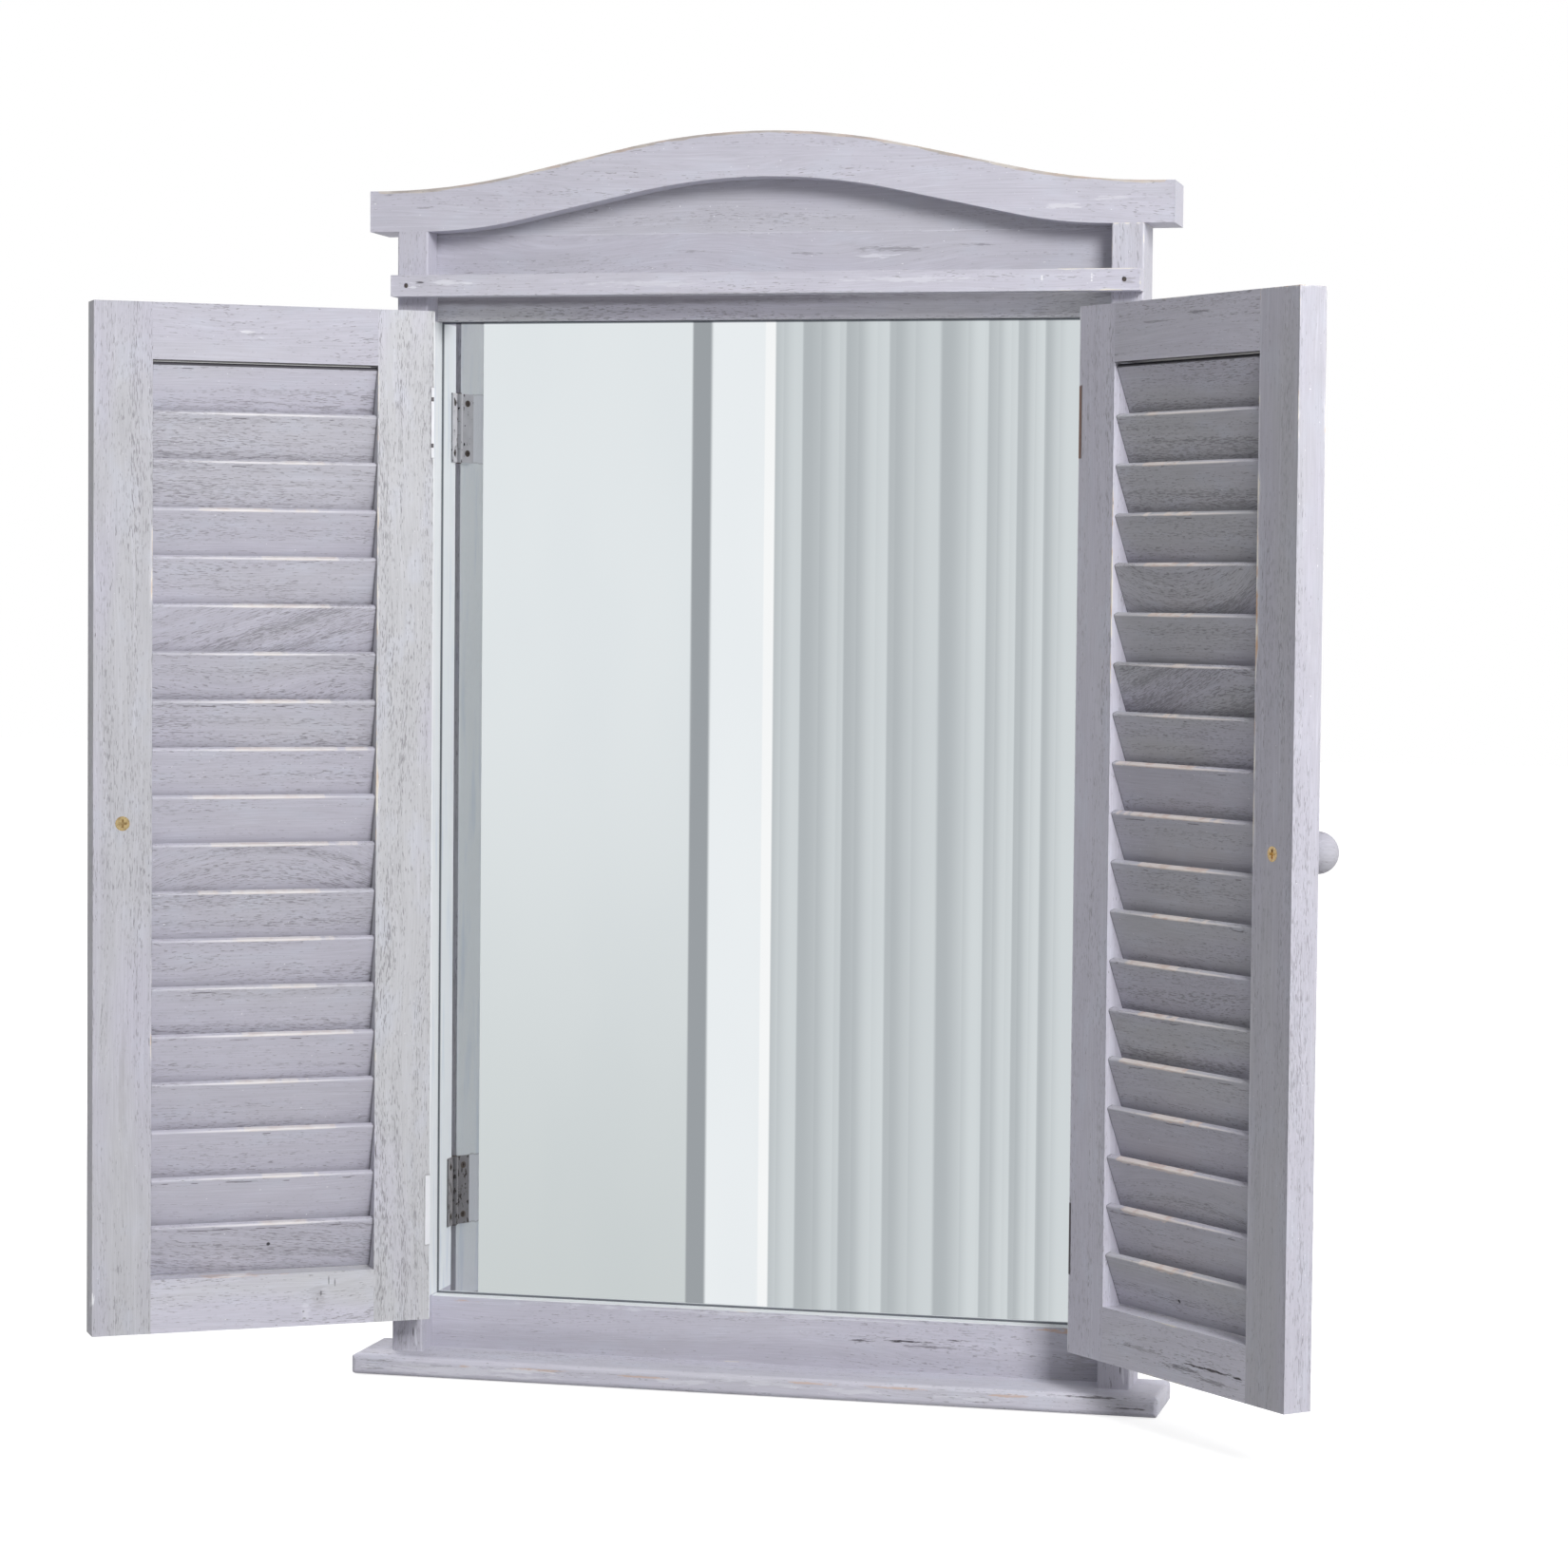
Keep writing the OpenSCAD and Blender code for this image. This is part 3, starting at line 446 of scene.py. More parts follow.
board("cornice", X, Z, top=cornice_gap, pores=-0.3, figure=0.35, wear=0.20, tan=0.55, cool=0.15,
      tone=0.945, rim=(1.6, 224),
      marks=[("crack", -197, -13.5, 9, 1.4, 0.35, 1), ("crack", -218, -6, 5, 1.0, 0.4, 1),
             ("crack", -217, 0.5, 16, 0.9, 0.5, 1),
             ("scuff", 169, -17.0, 17, 3.6, 0.35, 1), ("scuff", 195, -13.5, 16, 3.0, 0.25, 1)])
board("upper_pediment_board", X, Z, pores=-0.25, figure=0.4, wear=-0.4, tan=0.1, tone=0.905,
      cool=0.3)
board("lower_pediment_board", X, Z, pores=-0.25, figure=0.75, wear=-0.4, tan=0.1, tone=0.905,
      cool=0.25,
      marks=[("smear", 62.5, 1.4, 16, 2.6, 0.6, 1), ("crack", -46, 5, 12, 1.4, 0.3, 1),
             ("crack", 20, 3, 16, 1.2, 0.35, 1), ("crack", 120, 7, 20, 1.0, 0.4, 1),
             ("crack", 72, 5, 30, 2.4, 0.35, 1), ("smear", 0, 15.2, 900, 1.3, 0.32, 1)])
board("ledge_strip", X, Z, pores=-0.30, figure=0.2, wear=0.08, tan=0.0, tone=0.99, cool=0.15,
      marks=[("smear", -178, 1.5, 30, 2.6, 0.8, 1), ("smear", -60, 0, 60, 3.5, 0.4, 1),
             ("crack", -196, 1.8, 4.5, 1.0, 0.8, 1), ("smear", -200, -1, 4, 3, 0.9, 1),
             ("scuff", 159.4, 1.5, 0.9, 3.6, 0.9, 1), ("scuff", 186.8, 1.5, 0.9, 4.6, 0.9, 1),
             ("shade", 207, -1, 6, 4, 0.5, 1), ("smear", 90, 1, 70, 3, 0.45, 1),
             ("shade", -20, -5.6, 190, 0.8, 0.4, 1)])
# The dark band under the ledge is painted shade, the ledge's shadow. The pale patch at the right
# end is painted light.
board("header_rail", X, Z, pores=0.20, figure=0.3, wear=-0.2, tan=0.1, cool=1.0, tone=1.24,
      marks=[("deep_shade", -110, 6.0, 800, 15.0, 0.75, 1), ("smear", 120, 1, 170, 26, 0.25, 1)])
# Its pale top is a painted highlight, where light from above falls. The broad dark band along its
# foot by the sill, and the shade by the right end, are painted shade.
board("bottom_rail", X, Z, pores=-0.15, figure=0.3, wear=0.05, tan=0.5, cool=0.2, tone=0.995,
      pale=(1, 14.2, 14.6, -200, 200),
      marks=[("crack", 57, 1.5, 13, 2.0, 0.8, 1), ("crack", 86, 2.2, 22, 1.3, 1.0, 1),
             ("crack", 112, 4.0, 14, 1.2, 0.9, 1), ("crack", 97, -0.3, 30, 1.5, 0.5, 1),
             ("tan", 172, 12.6, 30, 2.2, 0.9, 1), ("tan", 183, 10.0, 9, 2.4, 0.6, 1),
             ("tan", -176, 12.6, 14, 1.2, 0.7, 1),
             ("shade", 183, -2, 17, 14, 0.35, 1), ("smear", -20, 12.8, 180, 2.0, 0.55, 1),
             ("deep_shade", 0, -18, 900, 40, 0.20, 1)])
board("sill_board", X, Z, pores=0.1, figure=0.3, wear=0.16, tan=0.6, cool=0.3, tone=1.05,
      marks=[("tan", x, z, half_long, 1.5, 0.75, 1)
             for x, z, half_long in ((-165, 2.0, 9), (-120, 2.2, 34), (-60, 1.5, 30),
                                     (35, 3.2, 26), (85, 3.4, 30), (150, 2.5, 25))]
      + [("smear", x, z, 36, 2.6, 0.6, 1)
         for x, z in ((-130, 0.8), (-40, 0), (10, 2), (60, 0.2), (130, -0.2))]
      + [("crack", x, z, half_long, 1.1, 0.75, 1)
         for x, z, half_long in ((196, 4.2, 34), (214, -1.0, 16))]
      + [("crack", x, z, half_long, 1.3, 0.30, 1)
         for x, z, half_long in ((-215, 2.8, 20), (-196, 0.6, 26), (-219, -1.6, 14),
                                 (-178, 1.6, 16))]
      # A broad pale patch on the front's left half is painted light.
      + [("smear", -165, -0.5, 110, 6.0, 0.5, 1)])
# Each post's inner face is painted near white, a painted highlight. The right post's foot gets
# painted shade, the right shutter's shadow on it.
for name, side, foot in (("left_post", 1, []),
                         ("right_post", -1, [("deep_shade", -305, 0, 70, 70, 0.18, -1)])):
    board(name, Z, X, pores=0.0, figure=0.2, wear=0.02, tan=0.15, cool=0.3, tone=0.955,
          pale=(side, 8.0, 8.6, -290.5, 270.5),
          marks=[("split", -309, 3.6, 7, 0.7, 0.9, -1), ("smear", -312, 5.4, 8, 1.4, 0.8, -1),
                 *foot])


# ---------------------------------------------------------------- the shutters
HAND = {"left": 1, "right": -1}
SLATS, SLAT_TILT = 19, math.radians(20)
SLAT_HALF_LONG, SLAT_HALF_W, SLAT_HALF_T, SLAT_ROUND = 63.5, 14.87, 2.25, 1.2
# The slats' middles from the pin: along the shutter's width, and toward its inner face
SLATS_ALONG, SLATS_IN = 96.9, 10.7
SLAT_SEED = {"left": 3.0, "right": 91.0}
# The first of these colours is painted shade, for the gap under the top rail
GAP_SHADE, SLIT_DARK, KNOT_DARK = rgb(44, 40, 46), rgb(92, 86, 92), rgb(48, 44, 50)


def shutter_axes(side):
    """The shutter's own axes at rest: from its pin to its meeting edge, and to its inner face."""
    joint = JOINTS[side + "_shutter_hinge"]
    pin = (joint["pos_m"][0], joint["pos_m"][1], 0.0)
    opened = math.radians(max(abs(end) for end in joint["range_deg"]))
    width = Vector((HAND[side] * math.cos(opened), -math.sin(opened), 0.0))
    inner = Vector((HAND[side] * math.sin(opened), math.cos(opened), 0.0))
    return pin, width, inner


def paint_slats(side, pin, width, inner, looks):
    """The paint of one shutter's slats. They are one node, so the material finds each slat's
    number from the top, 0 to 18, and gives it its own grain, tone and rub."""
    name = side + "_slats"
    up = (inner * math.sin(SLAT_TILT) + Z * math.cos(SLAT_TILT)).normalized()
    out = (inner * math.cos(SLAT_TILT) - Z * math.sin(SLAT_TILT)).normalized()
    low, high = (corner.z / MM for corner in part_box(name))
    rise = 2 * ((SLAT_HALF_W - SLAT_ROUND) * math.cos(SLAT_TILT)
                + (SLAT_HALF_T - SLAT_ROUND) * math.sin(SLAT_TILT) + SLAT_ROUND)
    step = (high - low - rise) / (SLATS - 1)
    first = Vector(pin) + inner * (SLATS_IN * MM) + Z * ((high - rise / 2) * MM)

    # Millimetres on a slat: u along it from its middle, s up its face, t through it
    material, g = new_material("paint_" + name)
    moved = g.vmath("SUBTRACT", g.object_point(), tuple(first))
    u = g.fma(g.vmath("DOT_PRODUCT", moved, tuple(width)), 1 / MM, -SLATS_ALONG)
    s = g.mul(g.vmath("DOT_PRODUCT", moved, tuple(up)), 1 / MM)
    t = g.mul(g.vmath("DOT_PRODUCT", moved, tuple(out)), 1 / MM)
    across, rising = step * math.sin(SLAT_TILT), step * math.cos(SLAT_TILT)
    index = g.math("ROUND", g.math("DIVIDE", t, across))
    t = g.fma(index, -across, t)
    s = g.fma(index, rising, s)
    edge = g.math("MAXIMUM", g.sub(SLAT_HALF_W, g.size_of(s)), g.sub(SLAT_HALF_T, g.size_of(t)))
    # The wear is strongest at the slat's middle, so its arrises count as farther at the ends
    fade = g.size_of(g.math("DIVIDE", u, SLAT_HALF_LONG))
    edge = g.fma(g.ramp(fade, 0.25, 1.0), 0.9, edge)
    chance = g.node("TexWhiteNoise", {"W": g.add(index, 0.37)}, noise_dimensions="1D")
    seed = g.fma(chance.outputs["Value"], 61.0, SLAT_SEED[side])
    red, green, blue = g.node("SeparateColor", {0: chance.outputs["Color"]}).outputs[:3]

    # A figured slat's grain slopes and bends across its face
    bent, figured = s, 0.0
    for number, slope, bend in looks["figured"]:
        hit = g.math("COMPARE", index, float(number), 0.4)
        bent = g.fma(hit, g.mul(u, g.fma(u, bend, slope)), bent)
        figured = g.fma(hit, 0.50, figured)
    pores = g.fma(green, 0.75, -0.30)
    pores = g.add(g.mul(g.ramp(s, 6.0, -10.0), g.mul(red, 0.55)), pores)
    paint = g.node("Group", {
        "Point": g.join(u, bent, t), "Edge": edge, "Seed": seed, "Pores": g.add(pores, figured),
        "Figure": g.ramp(blue, 0.55, 1.0), "Tone": g.fma(red, 0.05, looks["tone"]),
        "Cool": g.fma(green, 0.45, looks["cool"]), "Wear": looks["wear"], "Tan": looks["tan"]},
        node_tree=PAINT)

    # The upper arris: a pale line, partly worn paint and partly a painted highlight where the
    # rounded arris catches the light. The first slat, in the rail's shade, doesn't get it
    along = g.join(u, g.mul(seed, 3.1), 0.0)
    crest = g.mul(g.ramp(edge, 0.3, 1.5, 1.0, 0.0), g.ramp(s, 11.8, 13.0))
    below_first = g.math("MINIMUM", index, 1.0)
    line = g.mul(g.mul(crest, below_first),
                 g.fma(g.noise(along, (30, 1, 1), 2.0), 0.8, looks["crest_base"]))
    colour = g.mix(line, paint.outputs["Color"], looks["crest"])

    # It is rubbed to primer and wood around the slat's middle, deeper on the lower slats
    offset = g.fma(g.sub(red, 0.5), 30.0, g.sub(u, looks["rub_at"]))
    reach = g.fma(g.swing(along, (14, 1, 1), 3.0), -90.0, g.size_of(offset))
    reach = g.fma(green, 36.0, reach)
    low_slat = g.ramp(index, 12.0, 18.0)
    half_up, half_low = looks["rub_half"]
    deep_up, deep_low = looks["rub_deep"]
    half_length = g.fma(low_slat, half_low - half_up, half_up)
    patch = g.ramp(g.sub(reach, half_length), -28.0, 0.0, 1.0, 0.0)
    patch = g.mul(patch, g.ramp(index, *looks["rub_from"]))
    flecks = g.join(u, g.fma(seed, 3.1, s), 0.0)
    depth = g.mul(g.fma(low_slat, deep_low - deep_up, deep_up), patch)
    deep = g.fma(g.fma(g.noise(flecks, (6, 0.9, 1), 2.5), 1.5, -0.1), depth, g.sub(s, 13.75))
    rubbed = g.mul(g.ramp(patch, 0.05, 0.30), g.ramp(deep, 0.0, 0.35))
    wood = g.ramp(g.noise(flecks, (10, 0.8, 1), 2.0), 0.50, 0.62)
    bare = g.mix(g.mul(wood, looks["tan"]), looks["primer"], looks["wood"])
    colour = g.mix(g.mul(rubbed, looks["rub_strength"]), colour, bare)

    # Painted shade at the slat's foot, above the next slat, and at its ends by the stiles; a broken
    # dark slit; painted shade on the first slat's top edge, in the gap under the rail; and the knot
    foot_and_end_shade = g.mul(g.ramp(s, -13.5, -8.0, 0.84, 1.0), g.ramp(g.size_of(u), 62.4, 63.4, 1.0, 0.5))
    colour = g.scaled(colour, foot_and_end_shade)
    below = g.size_of(g.fma(g.swing(along, (18, 1, 1), 3.0), 2.4, g.sub(s, 12.2)))
    broken = g.ramp(g.noise(g.vmath("ADD", along, (9, 40, 0)), (17, 1, 1), 2.0), 0.59, 0.64)
    slit = g.mul(g.ramp(below, 0.12, 0.38, 1.0, 0.0), broken)
    colour = g.mix(g.mul(slit, 0.75), colour, SLIT_DARK)
    # Painted shade in the gap under the top rail, on the first slat only
    first_gap_shade = g.mul(g.ramp(s, 13.8, 14.2), g.sub(1.0, below_first))
    colour = g.mix(g.mul(first_gap_shade, 0.85), colour, GAP_SHADE)
    knot_slat, knot_u, knot_s = looks["knot"]
    spot = g.vmath("LENGTH", g.join(g.sub(u, knot_u), g.sub(s, knot_s),
                                    g.mul(g.sub(index, knot_slat), 50.0)))
    colour = g.mix(g.ramp(spot, 0.7, 1.4, 0.95, 0.0), colour, KNOT_DARK)
    finish_material(g, colour, paint.outputs["Roughness"],
                    g.fma(slit, -0.25, paint.outputs["Height"]))
    dress(material, name)


HINGE_AT = 223.0  # the hinges' middles, from the stile's middle
PLAIN_STILE = {"figure": 0.15, "wear": -0.12}
SIDE_COAT = (-1, 15.6, 16.2, -285, 285)
# top and bottom are the rails' marks. They lie on the inner face, so their side isn't given.
# Of the pairs tones and cools, the first is the top rail's. Of rub_half and rub_deep, it is
# the upper slats'. figured gives slats' numbers with their grain's slope and bend, and knot a
# slat's number and the knot's place on it.
SHUTTER_LOOKS = {
    "left": dict(
        hinge=dict(pores=0.28, figure=0.25, wear=-0.12, tan=0.5, cool=1.35, tone=1.02,
                   rub=(1, 8, 15, 0.55, -256, 256), pale=SIDE_COAT,
                   marks=[("dark_cut", HINGE_AT, -15.6, 20.6, 1.5, 0.45, 1),
                          ("white_cut", HINGE_AT, -15.6, 20.2, 1.1, 0.9, 1),
                          ("dark_cut", HINGE_AT + 13, -15.2, 1.2, 0.8, 0.9, 1),
                          ("dark_cut", HINGE_AT - 13, -15.2, 1.2, 0.8, 0.9, 1),
                          ("dark_cut", -HINGE_AT, -15.2, 20.8, 2.2, 0.45, 1),
                          ("white_cut", -HINGE_AT, -15.2, 20.2, 1.8, 0.9, 1),
                          ("split", -189, 15.4, 11, 0.7, 0.9, 1)]),
        meeting=dict(pores=0.22, tan=0.35, cool=0.8, tone=0.90, **PLAIN_STILE,
                     rub=(-1, 8, 15, 0.36, -256, 256),
                     marks=[("shade", -140, 0, 60, 6, 0.2, 1),
                            ("scuff", -266, 15.4, 10, 1.6, 0.9, 1)]),
        rail=dict(pores=0.05, figure=0.5, wear=0.0, tan=0.25),
        tones=(0.885, 1.03), cools=(0.2, 0.9),
        slats=dict(wear=-0.3, tan=0.5, tone=0.90, cool=0.0, rub_at=-10, rub_half=(54, 26),
                   rub_deep=(0.25, 0.30), rub_from=(1.0, 4.0), rub_strength=0.45,
                   crest=rgb(234, 231, 234), crest_base=0.35, primer=rgb(232, 226, 220),
                   wood=rgb(208, 184, 166), knot=(18, -4, 2.0),
                   figured=[(5, 0.34, 0.0), (10, 0.0, 0.003), (18, -0.12, 0.0)]),
        top=[("scuff", 10, 1.0, 9, 1.8, 0.5), ("scuff", 3, -2, 5, 1.2, 0.4)],
        bottom=[("split", -41, 9, 1.0, 5, 0.55), ("split", -37.5, 10, 0.9, 5.5, 0.55),
                ("split", -33, 3, 1.3, 3.6, 0.6), ("split", -31, 0, 1.0, 2.2, 0.4),
                ("split", -23, -7, 1.6, 1.6, 0.6), ("split", -23.5, -11, 2.4, 1.0, 0.6),
                ("shade", -31, 1, 9, 15, 0.25), ("smear", -24, -7, 5, 11, 0.4),
                ("tan", 16, 15.2, 40, 1.8, 0.5), ("scuff", 14, 15.4, 16, 1.2, 0.7)]),
    "right": dict(
        hinge=dict(pores=0.0, tan=0.85, cool=0.2, tone=1.045, **PLAIN_STILE,
                   rub=(1, 8, 15, 0.88, -222, -70), pale=SIDE_COAT,
                   # The dark strip at the lower hinge is painted shade, beside the glass. The brown
                   # one at the upper hinge is the leaf's own colour.
                   marks=[("dark_cut", HINGE_AT, -15.6, 20.2, 1.2, 0.95, 1),
                          ("brown_cut", -HINGE_AT, -15.3, 20.2, 1.6, 0.95, 1),
                          ("dark_cut", -HINGE_AT, -13.8, 20.2, 0.35, 0.6, 1)]),
        meeting=dict(pores=0.16, tan=0.95, cool=0.5, tone=0.81, **PLAIN_STILE,
                     rub=(-1, 8, 15, 0.95, -200, 20)),
        rail=dict(pores=0.10, figure=0.35, wear=0.0, tan=0.3),
        tones=(0.905, 1.03), cools=(0.2, 0.2),
        slats=dict(wear=-0.3, tan=0.7, tone=0.875, cool=0.45, rub_at=-16, rub_half=(48, 44),
                   rub_deep=(0.4, 1.9), rub_from=(0.4, 2.0), rub_strength=0.62,
                   crest=rgb(238, 230, 228), crest_base=0.45, primer=rgb(238, 226, 218),
                   wood=rgb(214, 180, 160), knot=(18, -4, -3),
                   figured=[(4, -0.10, -0.0045), (6, -0.22, 0.0), (16, 0.0, 0.002)]),
        top=[("crack", 10, 7, 20, 1.6, 0.5), ("crack", -25, 4, 24, 1.2, 0.35)],
        bottom=[("split", 34, -3, 46, 0.5, 1), ("crack", 30, -3, 40, 1.2, 1),
                ("split", 57, -3.6, 9, 1.3, 1), ("crack", 8, -6, 30, 3.0, 0.6),
                ("crack", 36, -9, 28, 2.5, 0.5), ("crack", -30, -2, 30, 2.0, 0.3)]),
}
for side, looks in SHUTTER_LOOKS.items():
    pin, width, inner = shutter_axes(side)
    for kind in ("hinge", "meeting"):
        board(f"{side}_{kind}_stile", Z * HAND[side], width, pin, **looks[kind])
    for end, tone, cool in zip(("top", "bottom"), looks["tones"], looks["cools"]):
        marks = [(*mark, -HAND[side]) for mark in looks[end]]
        # A dark strip along the top rail's lower edge, on both faces, is painted shade in the gap
        # over the first slat
        if end == "top":
            marks += [("gap_cut", 0, -16.0, 300, 0.35, 1.0, face) for face in (1, -1)]
        board(f"{side}_{end}_rail", width, Z, pin, free_ends=False, marks=marks, tone=tone,
              cool=cool, **looks["rail"])
    paint_slats(side, pin, width, inner, looks["slats"])
    board(side + "_knob", inner, Z, pin, pores=0.1, figure=0.0, wear=-2.0, tan=0.0, cool=0.4,
          tone=0.73)


# ---------------------------------------------------------------- metal, glass, bare wood
def metal(name, colour, dark, rough, grain=(3, 3, 3), spot=0.35):
    """Worn metal: darker in blotches, finely scratched."""
    material, g = new_material(name)
    point = g.object_mm()
    blotch = g.ramp(g.noise(point, (4, 4, 4), 3.0), 0.40, 0.66)
    scratch = g.noise(point, grain, 2.0, 0.6)
    tint = g.mix(g.mul(blotch, spot), colour, dark)
    tint = g.scaled(tint, g.fma(g.sub(scratch, 0.5), 0.35, 1.0))
    roughness = g.add(g.fma(blotch, 0.18, rough), g.mul(g.sub(scratch, 0.5), 0.2))
    finish_material(g, tint, roughness, g.mul(scratch, 0.03), 1.0)
    return material


def chipped_metal(name, paint, under, chips):
    """Paint brushed over a hinge leaf, gone in flakes."""
    material, g = new_material(name)
    point = g.object_mm()
    flake = g.ramp(g.noise(point, (2.2, 2.2, 4.5), 3.0, 0.6), 0.60 - chips, 0.63 - chips)
    cloud = g.swing(point, (5, 5, 8), 2.0)
    tint = g.mix(flake, g.scaled(paint, g.fma(cloud, 0.3, 1.0)),
                 g.scaled(under, g.fma(cloud, 0.8, 1.0)))
    finish_material(g, tint, g.fma(flake, -0.12, 0.55), g.mul(flake, -0.12), g.mul(flake, 0.8))
    return material


def bare_wood(name, pale, dark, fibre=(40, 1.2, 1.2)):
    """Unpainted wood or board, its fibres along X."""
    material, g = new_material(name)
    point = g.object_mm()
    lines = g.noise(point, fibre, 3.0, 0.6)
    patch = g.swing(point, (90, 14, 14), 2.0)
    tint = g.scaled(g.mix(g.ramp(lines, 0.30, 0.72), pale, dark), g.fma(patch, 0.3, 1.0))
    finish_material(g, tint, g.fma(lines, 0.2, 0.62), g.mul(lines, 0.06))
    return material


# The glass's tint, its wiped tint, and the painted shadow at its edge
GLASS, GLASS_WIPED, GLASS_SEAT_SHADE = ((0.915, 0.928, 0.930, 1), (0.90, 0.915, 0.92, 1),
                                  (0.12, 0.13, 0.15, 1))
REBATE = (6.4, 7.1)  # where the dark line at the glass's seat fades, in mm from its edge


def mirror_material():
    """Silvered float glass: a green-grey tint, faint wipe marks, and a painted shadow in a dark
    line along its edge, where it sits in the rebate.
    """
    low, high = (Vector(c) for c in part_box("mirror_glass"))
    material, g = new_material("silvered_glass")
    point = g.object_mm()
    x, _, z = g.split(point)
    middle, half = (high + low) / 2 / MM, (high - low) / 2 / MM
    edge = g.math("MINIMUM", g.sub(half.x, g.size_of(g.sub(x, middle.x))),
                  g.sub(half.z, g.size_of(g.sub(z, middle.z))))
    wipe = g.noise(point, (60, 60, 140), 2.0)
    tint = g.mix(g.ramp(wipe, 0.35, 0.7), GLASS, GLASS_WIPED)
    # The painted shadow where the glass sits in the frame's rebate
    tint = g.mix(g.ramp(edge, *REBATE, 0.9, 0.0), tint, GLASS_SEAT_SHADE)
    rough = g.fma(g.ramp(wipe, 0.45, 0.75), 0.010, 0.004)
    g.surface(g.node("BsdfPrincipled", {"Base Color": tint, "Roughness": rough,
                                        "Metallic": 1.0}))
    return material


dress(mirror_material(), "mirror_glass")
dress(bare_wood("hardboard", rgb(150, 120, 88), rgb(132, 103, 74), (3.2, 0.9, 3.2)), "back_panel")
dress(bare_wood("dowel_wood", rgb(214, 184, 142), rgb(176, 140, 98)),
      "rail_dowels", "cornice_dowels", "left_shutter_dowels", "right_shutter_dowels")
dress(metal("dark_steel", rgb(122, 112, 106), rgb(66, 54, 48), 0.38),
      "sill_screws", "ledge_nails", "back_panel_pins", "hanger_screws",
      "frame_leaf_screws", "left_leaf_screws", "right_leaf_screws",
      "left_upper_hinge_pin", "left_lower_hinge_pin",
      "right_upper_hinge_pin", "right_lower_hinge_pin")
dress(metal("plate_steel", rgb(170, 166, 158), rgb(110, 104, 98), 0.34, (0.5, 6, 9)),
      "left_hanger_plate", "right_hanger_plate")
dress(metal("brass", rgb(236, 206, 152), rgb(140, 100, 62), 0.24, (0.8, 0.8, 0.8), spot=0.4),
      "left_knob_screw", "right_knob_screw")
# The hinge leaves' paint, the metal under it, and how much has flaked off
LEAF_LOOKS = {
    "left_upper": (rgb(214, 212, 216), rgb(60, 56, 60), -0.01),
    "left_lower": (rgb(150, 146, 148), rgb(92, 86, 84), 0.02),
    "right_upper": (rgb(140, 116, 104), rgb(112, 80, 64), 0.10),
    # The right lower leaves' near-black paint is painted shade, for the shade beside the glass.
    "right_lower": (rgb(62, 56, 58), rgb(36, 30, 30), 0.06),
}
for place, leaf_looks in LEAF_LOOKS.items():
    dress(chipped_metal("hinge_" + place, *leaf_looks),
          place + "_frame_leaf", place + "_shutter_leaf")


# ---------------------------------------------------------------- studio
FLOOR_HALF, FLOOR_DROP = 9, 0.0005
FLOOR_GREY = (0.48, 0.48, 0.48, 1)
WHITE = (1, 1, 1, 1)
WALL_Y, WALL_HALF = -3.5, (9, 6)
RIPPLE = 0.064
# Bands of the wall along x: where each starts and ends its edge, and the colour from there on
WALL_BANDS = ((-0.957, -0.953, rgb(161, 165, 169)), (-0.929, -0.923, rgb(243, 246, 248)),
              (-0.847, -0.845, rgb(255, 255, 255)))
RIPPLES_FROM = (-0.832, -0.829)
AMBIENT = 0.20
# Name, place, target, size, and level
LAMPS = (("key", (1.52, -2.09, 1.04), (0.0, 0.0, -0.28), 0.9, 0.775),
         ("side", (2.8, -0.3, 0.3), (0.0, 0.0, -0.28), 1.6, 0.33),
         ("top", (0.1, -0.9, 2.3), (0.0, 0.0, 0.0), 1.8, 0.20),
         ("back_fill", (-1.5, 1.6, 0.9), (0.0, 0.0, -0.3), 1.4, 0.70))


def sheet_mesh(name, corners):
    mesh = bpy.data.meshes.new(name)
    mesh.from_pydata([Vector(c) for c in corners], [], [(0, 1, 2, 3)])
    made = bpy.data.objects.new(name, mesh)
    bpy.context.scene.collection.objects.link(made)
    return made


def make_floor():
    """White floor under the sill. It takes the object's shadow, and fades to plain white."""
    z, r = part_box("sill_board")[0].z - FLOOR_DROP, FLOOR_HALF
    floor = sheet_mesh("floor", [(-r, -r, z), (r, -r, z), (r, r, z), (-r, r, z)])
    floor.visible_glossy = False
    material, g = new_material("floor")
    seen = g.node("LightPath").outputs["Is Camera Ray"]
    far = g.ramp(g.vmath("LENGTH", g.object_point()), 0.7, 2.2)
    strength = g.mul(seen, g.fma(far, 0.25, 0.75))
    glow = g.node("Emission", {"Color": WHITE, "Strength": strength})
    matt = g.node("BsdfDiffuse", {"Color": FLOOR_GREY})
    g.surface(g.node("AddShader", {0: glow.outputs[0], 1: matt.outputs[0]}))
    floor.data.materials.append(material)


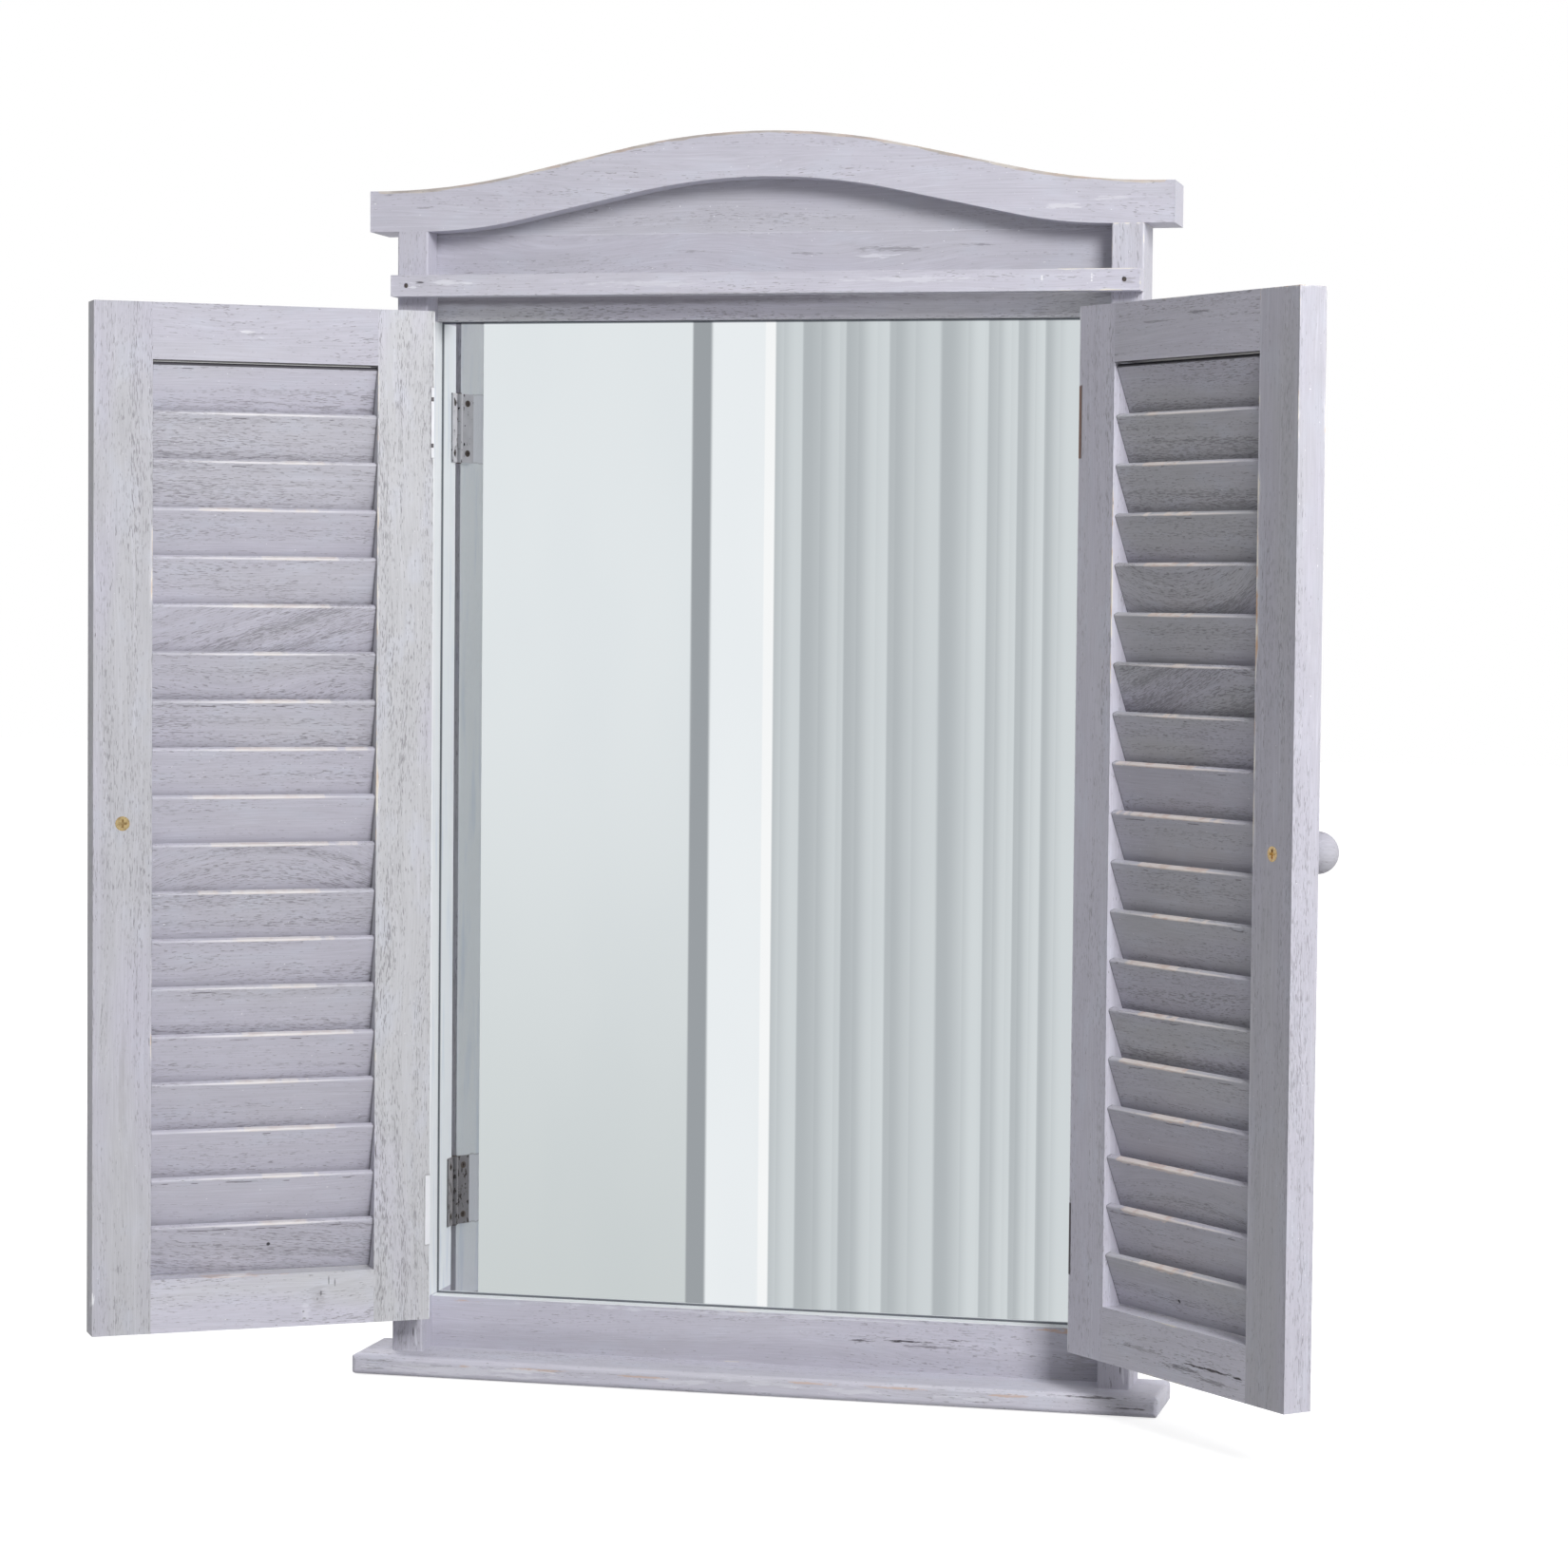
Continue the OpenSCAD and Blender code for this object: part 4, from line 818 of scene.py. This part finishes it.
def make_backdrop():
    """A pale studio wall behind the camera, banded on one side and rippled on the other. Only
    the mirror shows it."""
    y, (r, h) = WALL_Y, WALL_HALF
    wall = sheet_mesh("backdrop", [(-r, y, -h), (r, y, -h), (r, y, h), (-r, y, h)])
    wall.visible_camera = wall.visible_diffuse = wall.visible_shadow = False
    wall.visible_transmission = wall.visible_volume_scatter = False
    material, g = new_material("backdrop")
    x, _, z = g.split(g.object_point())
    colour = g.mix(g.ramp(z, -1.45, -0.1), rgb(208, 213, 213), rgb(234, 238, 240))
    for start, end, tint in WALL_BANDS:
        colour = g.mix(g.ramp(x, start, end), colour, tint)
    colour = g.mix(g.ramp(x, -1.300, -1.296, 1.0, 0.0), colour, rgb(160, 164, 168))

    # Ripples: a saw-tooth wave and a finer one on it, both wandering, over broad light and dark
    wander = g.noise(g.join(x, 2.0, g.mul(z, 0.01)), (0.16, 1, 1), 0.0)
    place = g.fma(wander, 2.6, g.math("DIVIDE", x, RIPPLE))
    wave = g.math("FRACT", place)
    wave = g.mul(g.ramp(wave, 0.02, 0.85), g.ramp(wave, 0.93, 1.0, 1.0, 0.0))
    fine = g.math("FRACT", g.fma(place, 2.3, 0.4))
    fine = g.mul(g.ramp(fine, 0.0, 0.7), g.ramp(fine, 0.94, 1.0, 1.0, 0.0))
    broad = g.swing(g.join(x, 0.0, g.mul(z, 0.02)), (0.11, 1, 1), 0.0)
    light = g.fma(broad, 1.1, g.fma(fine, 0.22, wave))
    light = g.add(light, g.ramp(x, -0.80, -0.60, -0.30, 0.0))
    rippled = g.mix(g.ramp(light, -0.2, 1.3), rgb(184, 189, 192), rgb(217, 222, 224))
    colour = g.mix(g.ramp(x, *RIPPLES_FROM), colour, rippled)
    g.surface(g.node("Emission", {"Color": colour, "Strength": 1.0}))
    wall.data.materials.append(material)


def make_world():
    """White to the camera, to gloss and through glass, and a dim fill light for the rest."""
    world = bpy.data.worlds.new("studio")
    bpy.context.scene.world = world
    g = new_graph(world)
    path = g.node("LightPath").outputs
    shown = g.math("MAXIMUM", path["Is Camera Ray"],
                   g.math("MAXIMUM", path["Is Glossy Ray"], path["Is Transmission Ray"]))
    g.surface(g.node("Background", {"Color": WHITE,
                                    "Strength": g.fma(shown, 1.0 - AMBIENT, AMBIENT)}),
              "OutputWorld")


def lamp(name, place, target, size, level):
    """A square soft lamp. level is the light it throws on a surface at target that faces it,
    where 1 shows a colour as it is written."""
    data = bpy.data.lights.new(name, "AREA")
    data.shape = "SQUARE"
    data.size = size
    way = Vector(target) - Vector(place)
    data.energy = level * math.pi ** 2 * way.length ** 2
    made = bpy.data.objects.new(name, data)
    made.location = place
    made.rotation_euler = way.to_track_quat("-Z", "Y").to_euler()
    made.visible_glossy = False
    bpy.context.scene.collection.objects.link(made)


make_camera()
make_floor()
make_backdrop()
make_world()
for lamp_settings in LAMPS:
    lamp(*lamp_settings)

bpy.context.scene.view_settings.view_transform = "Standard"
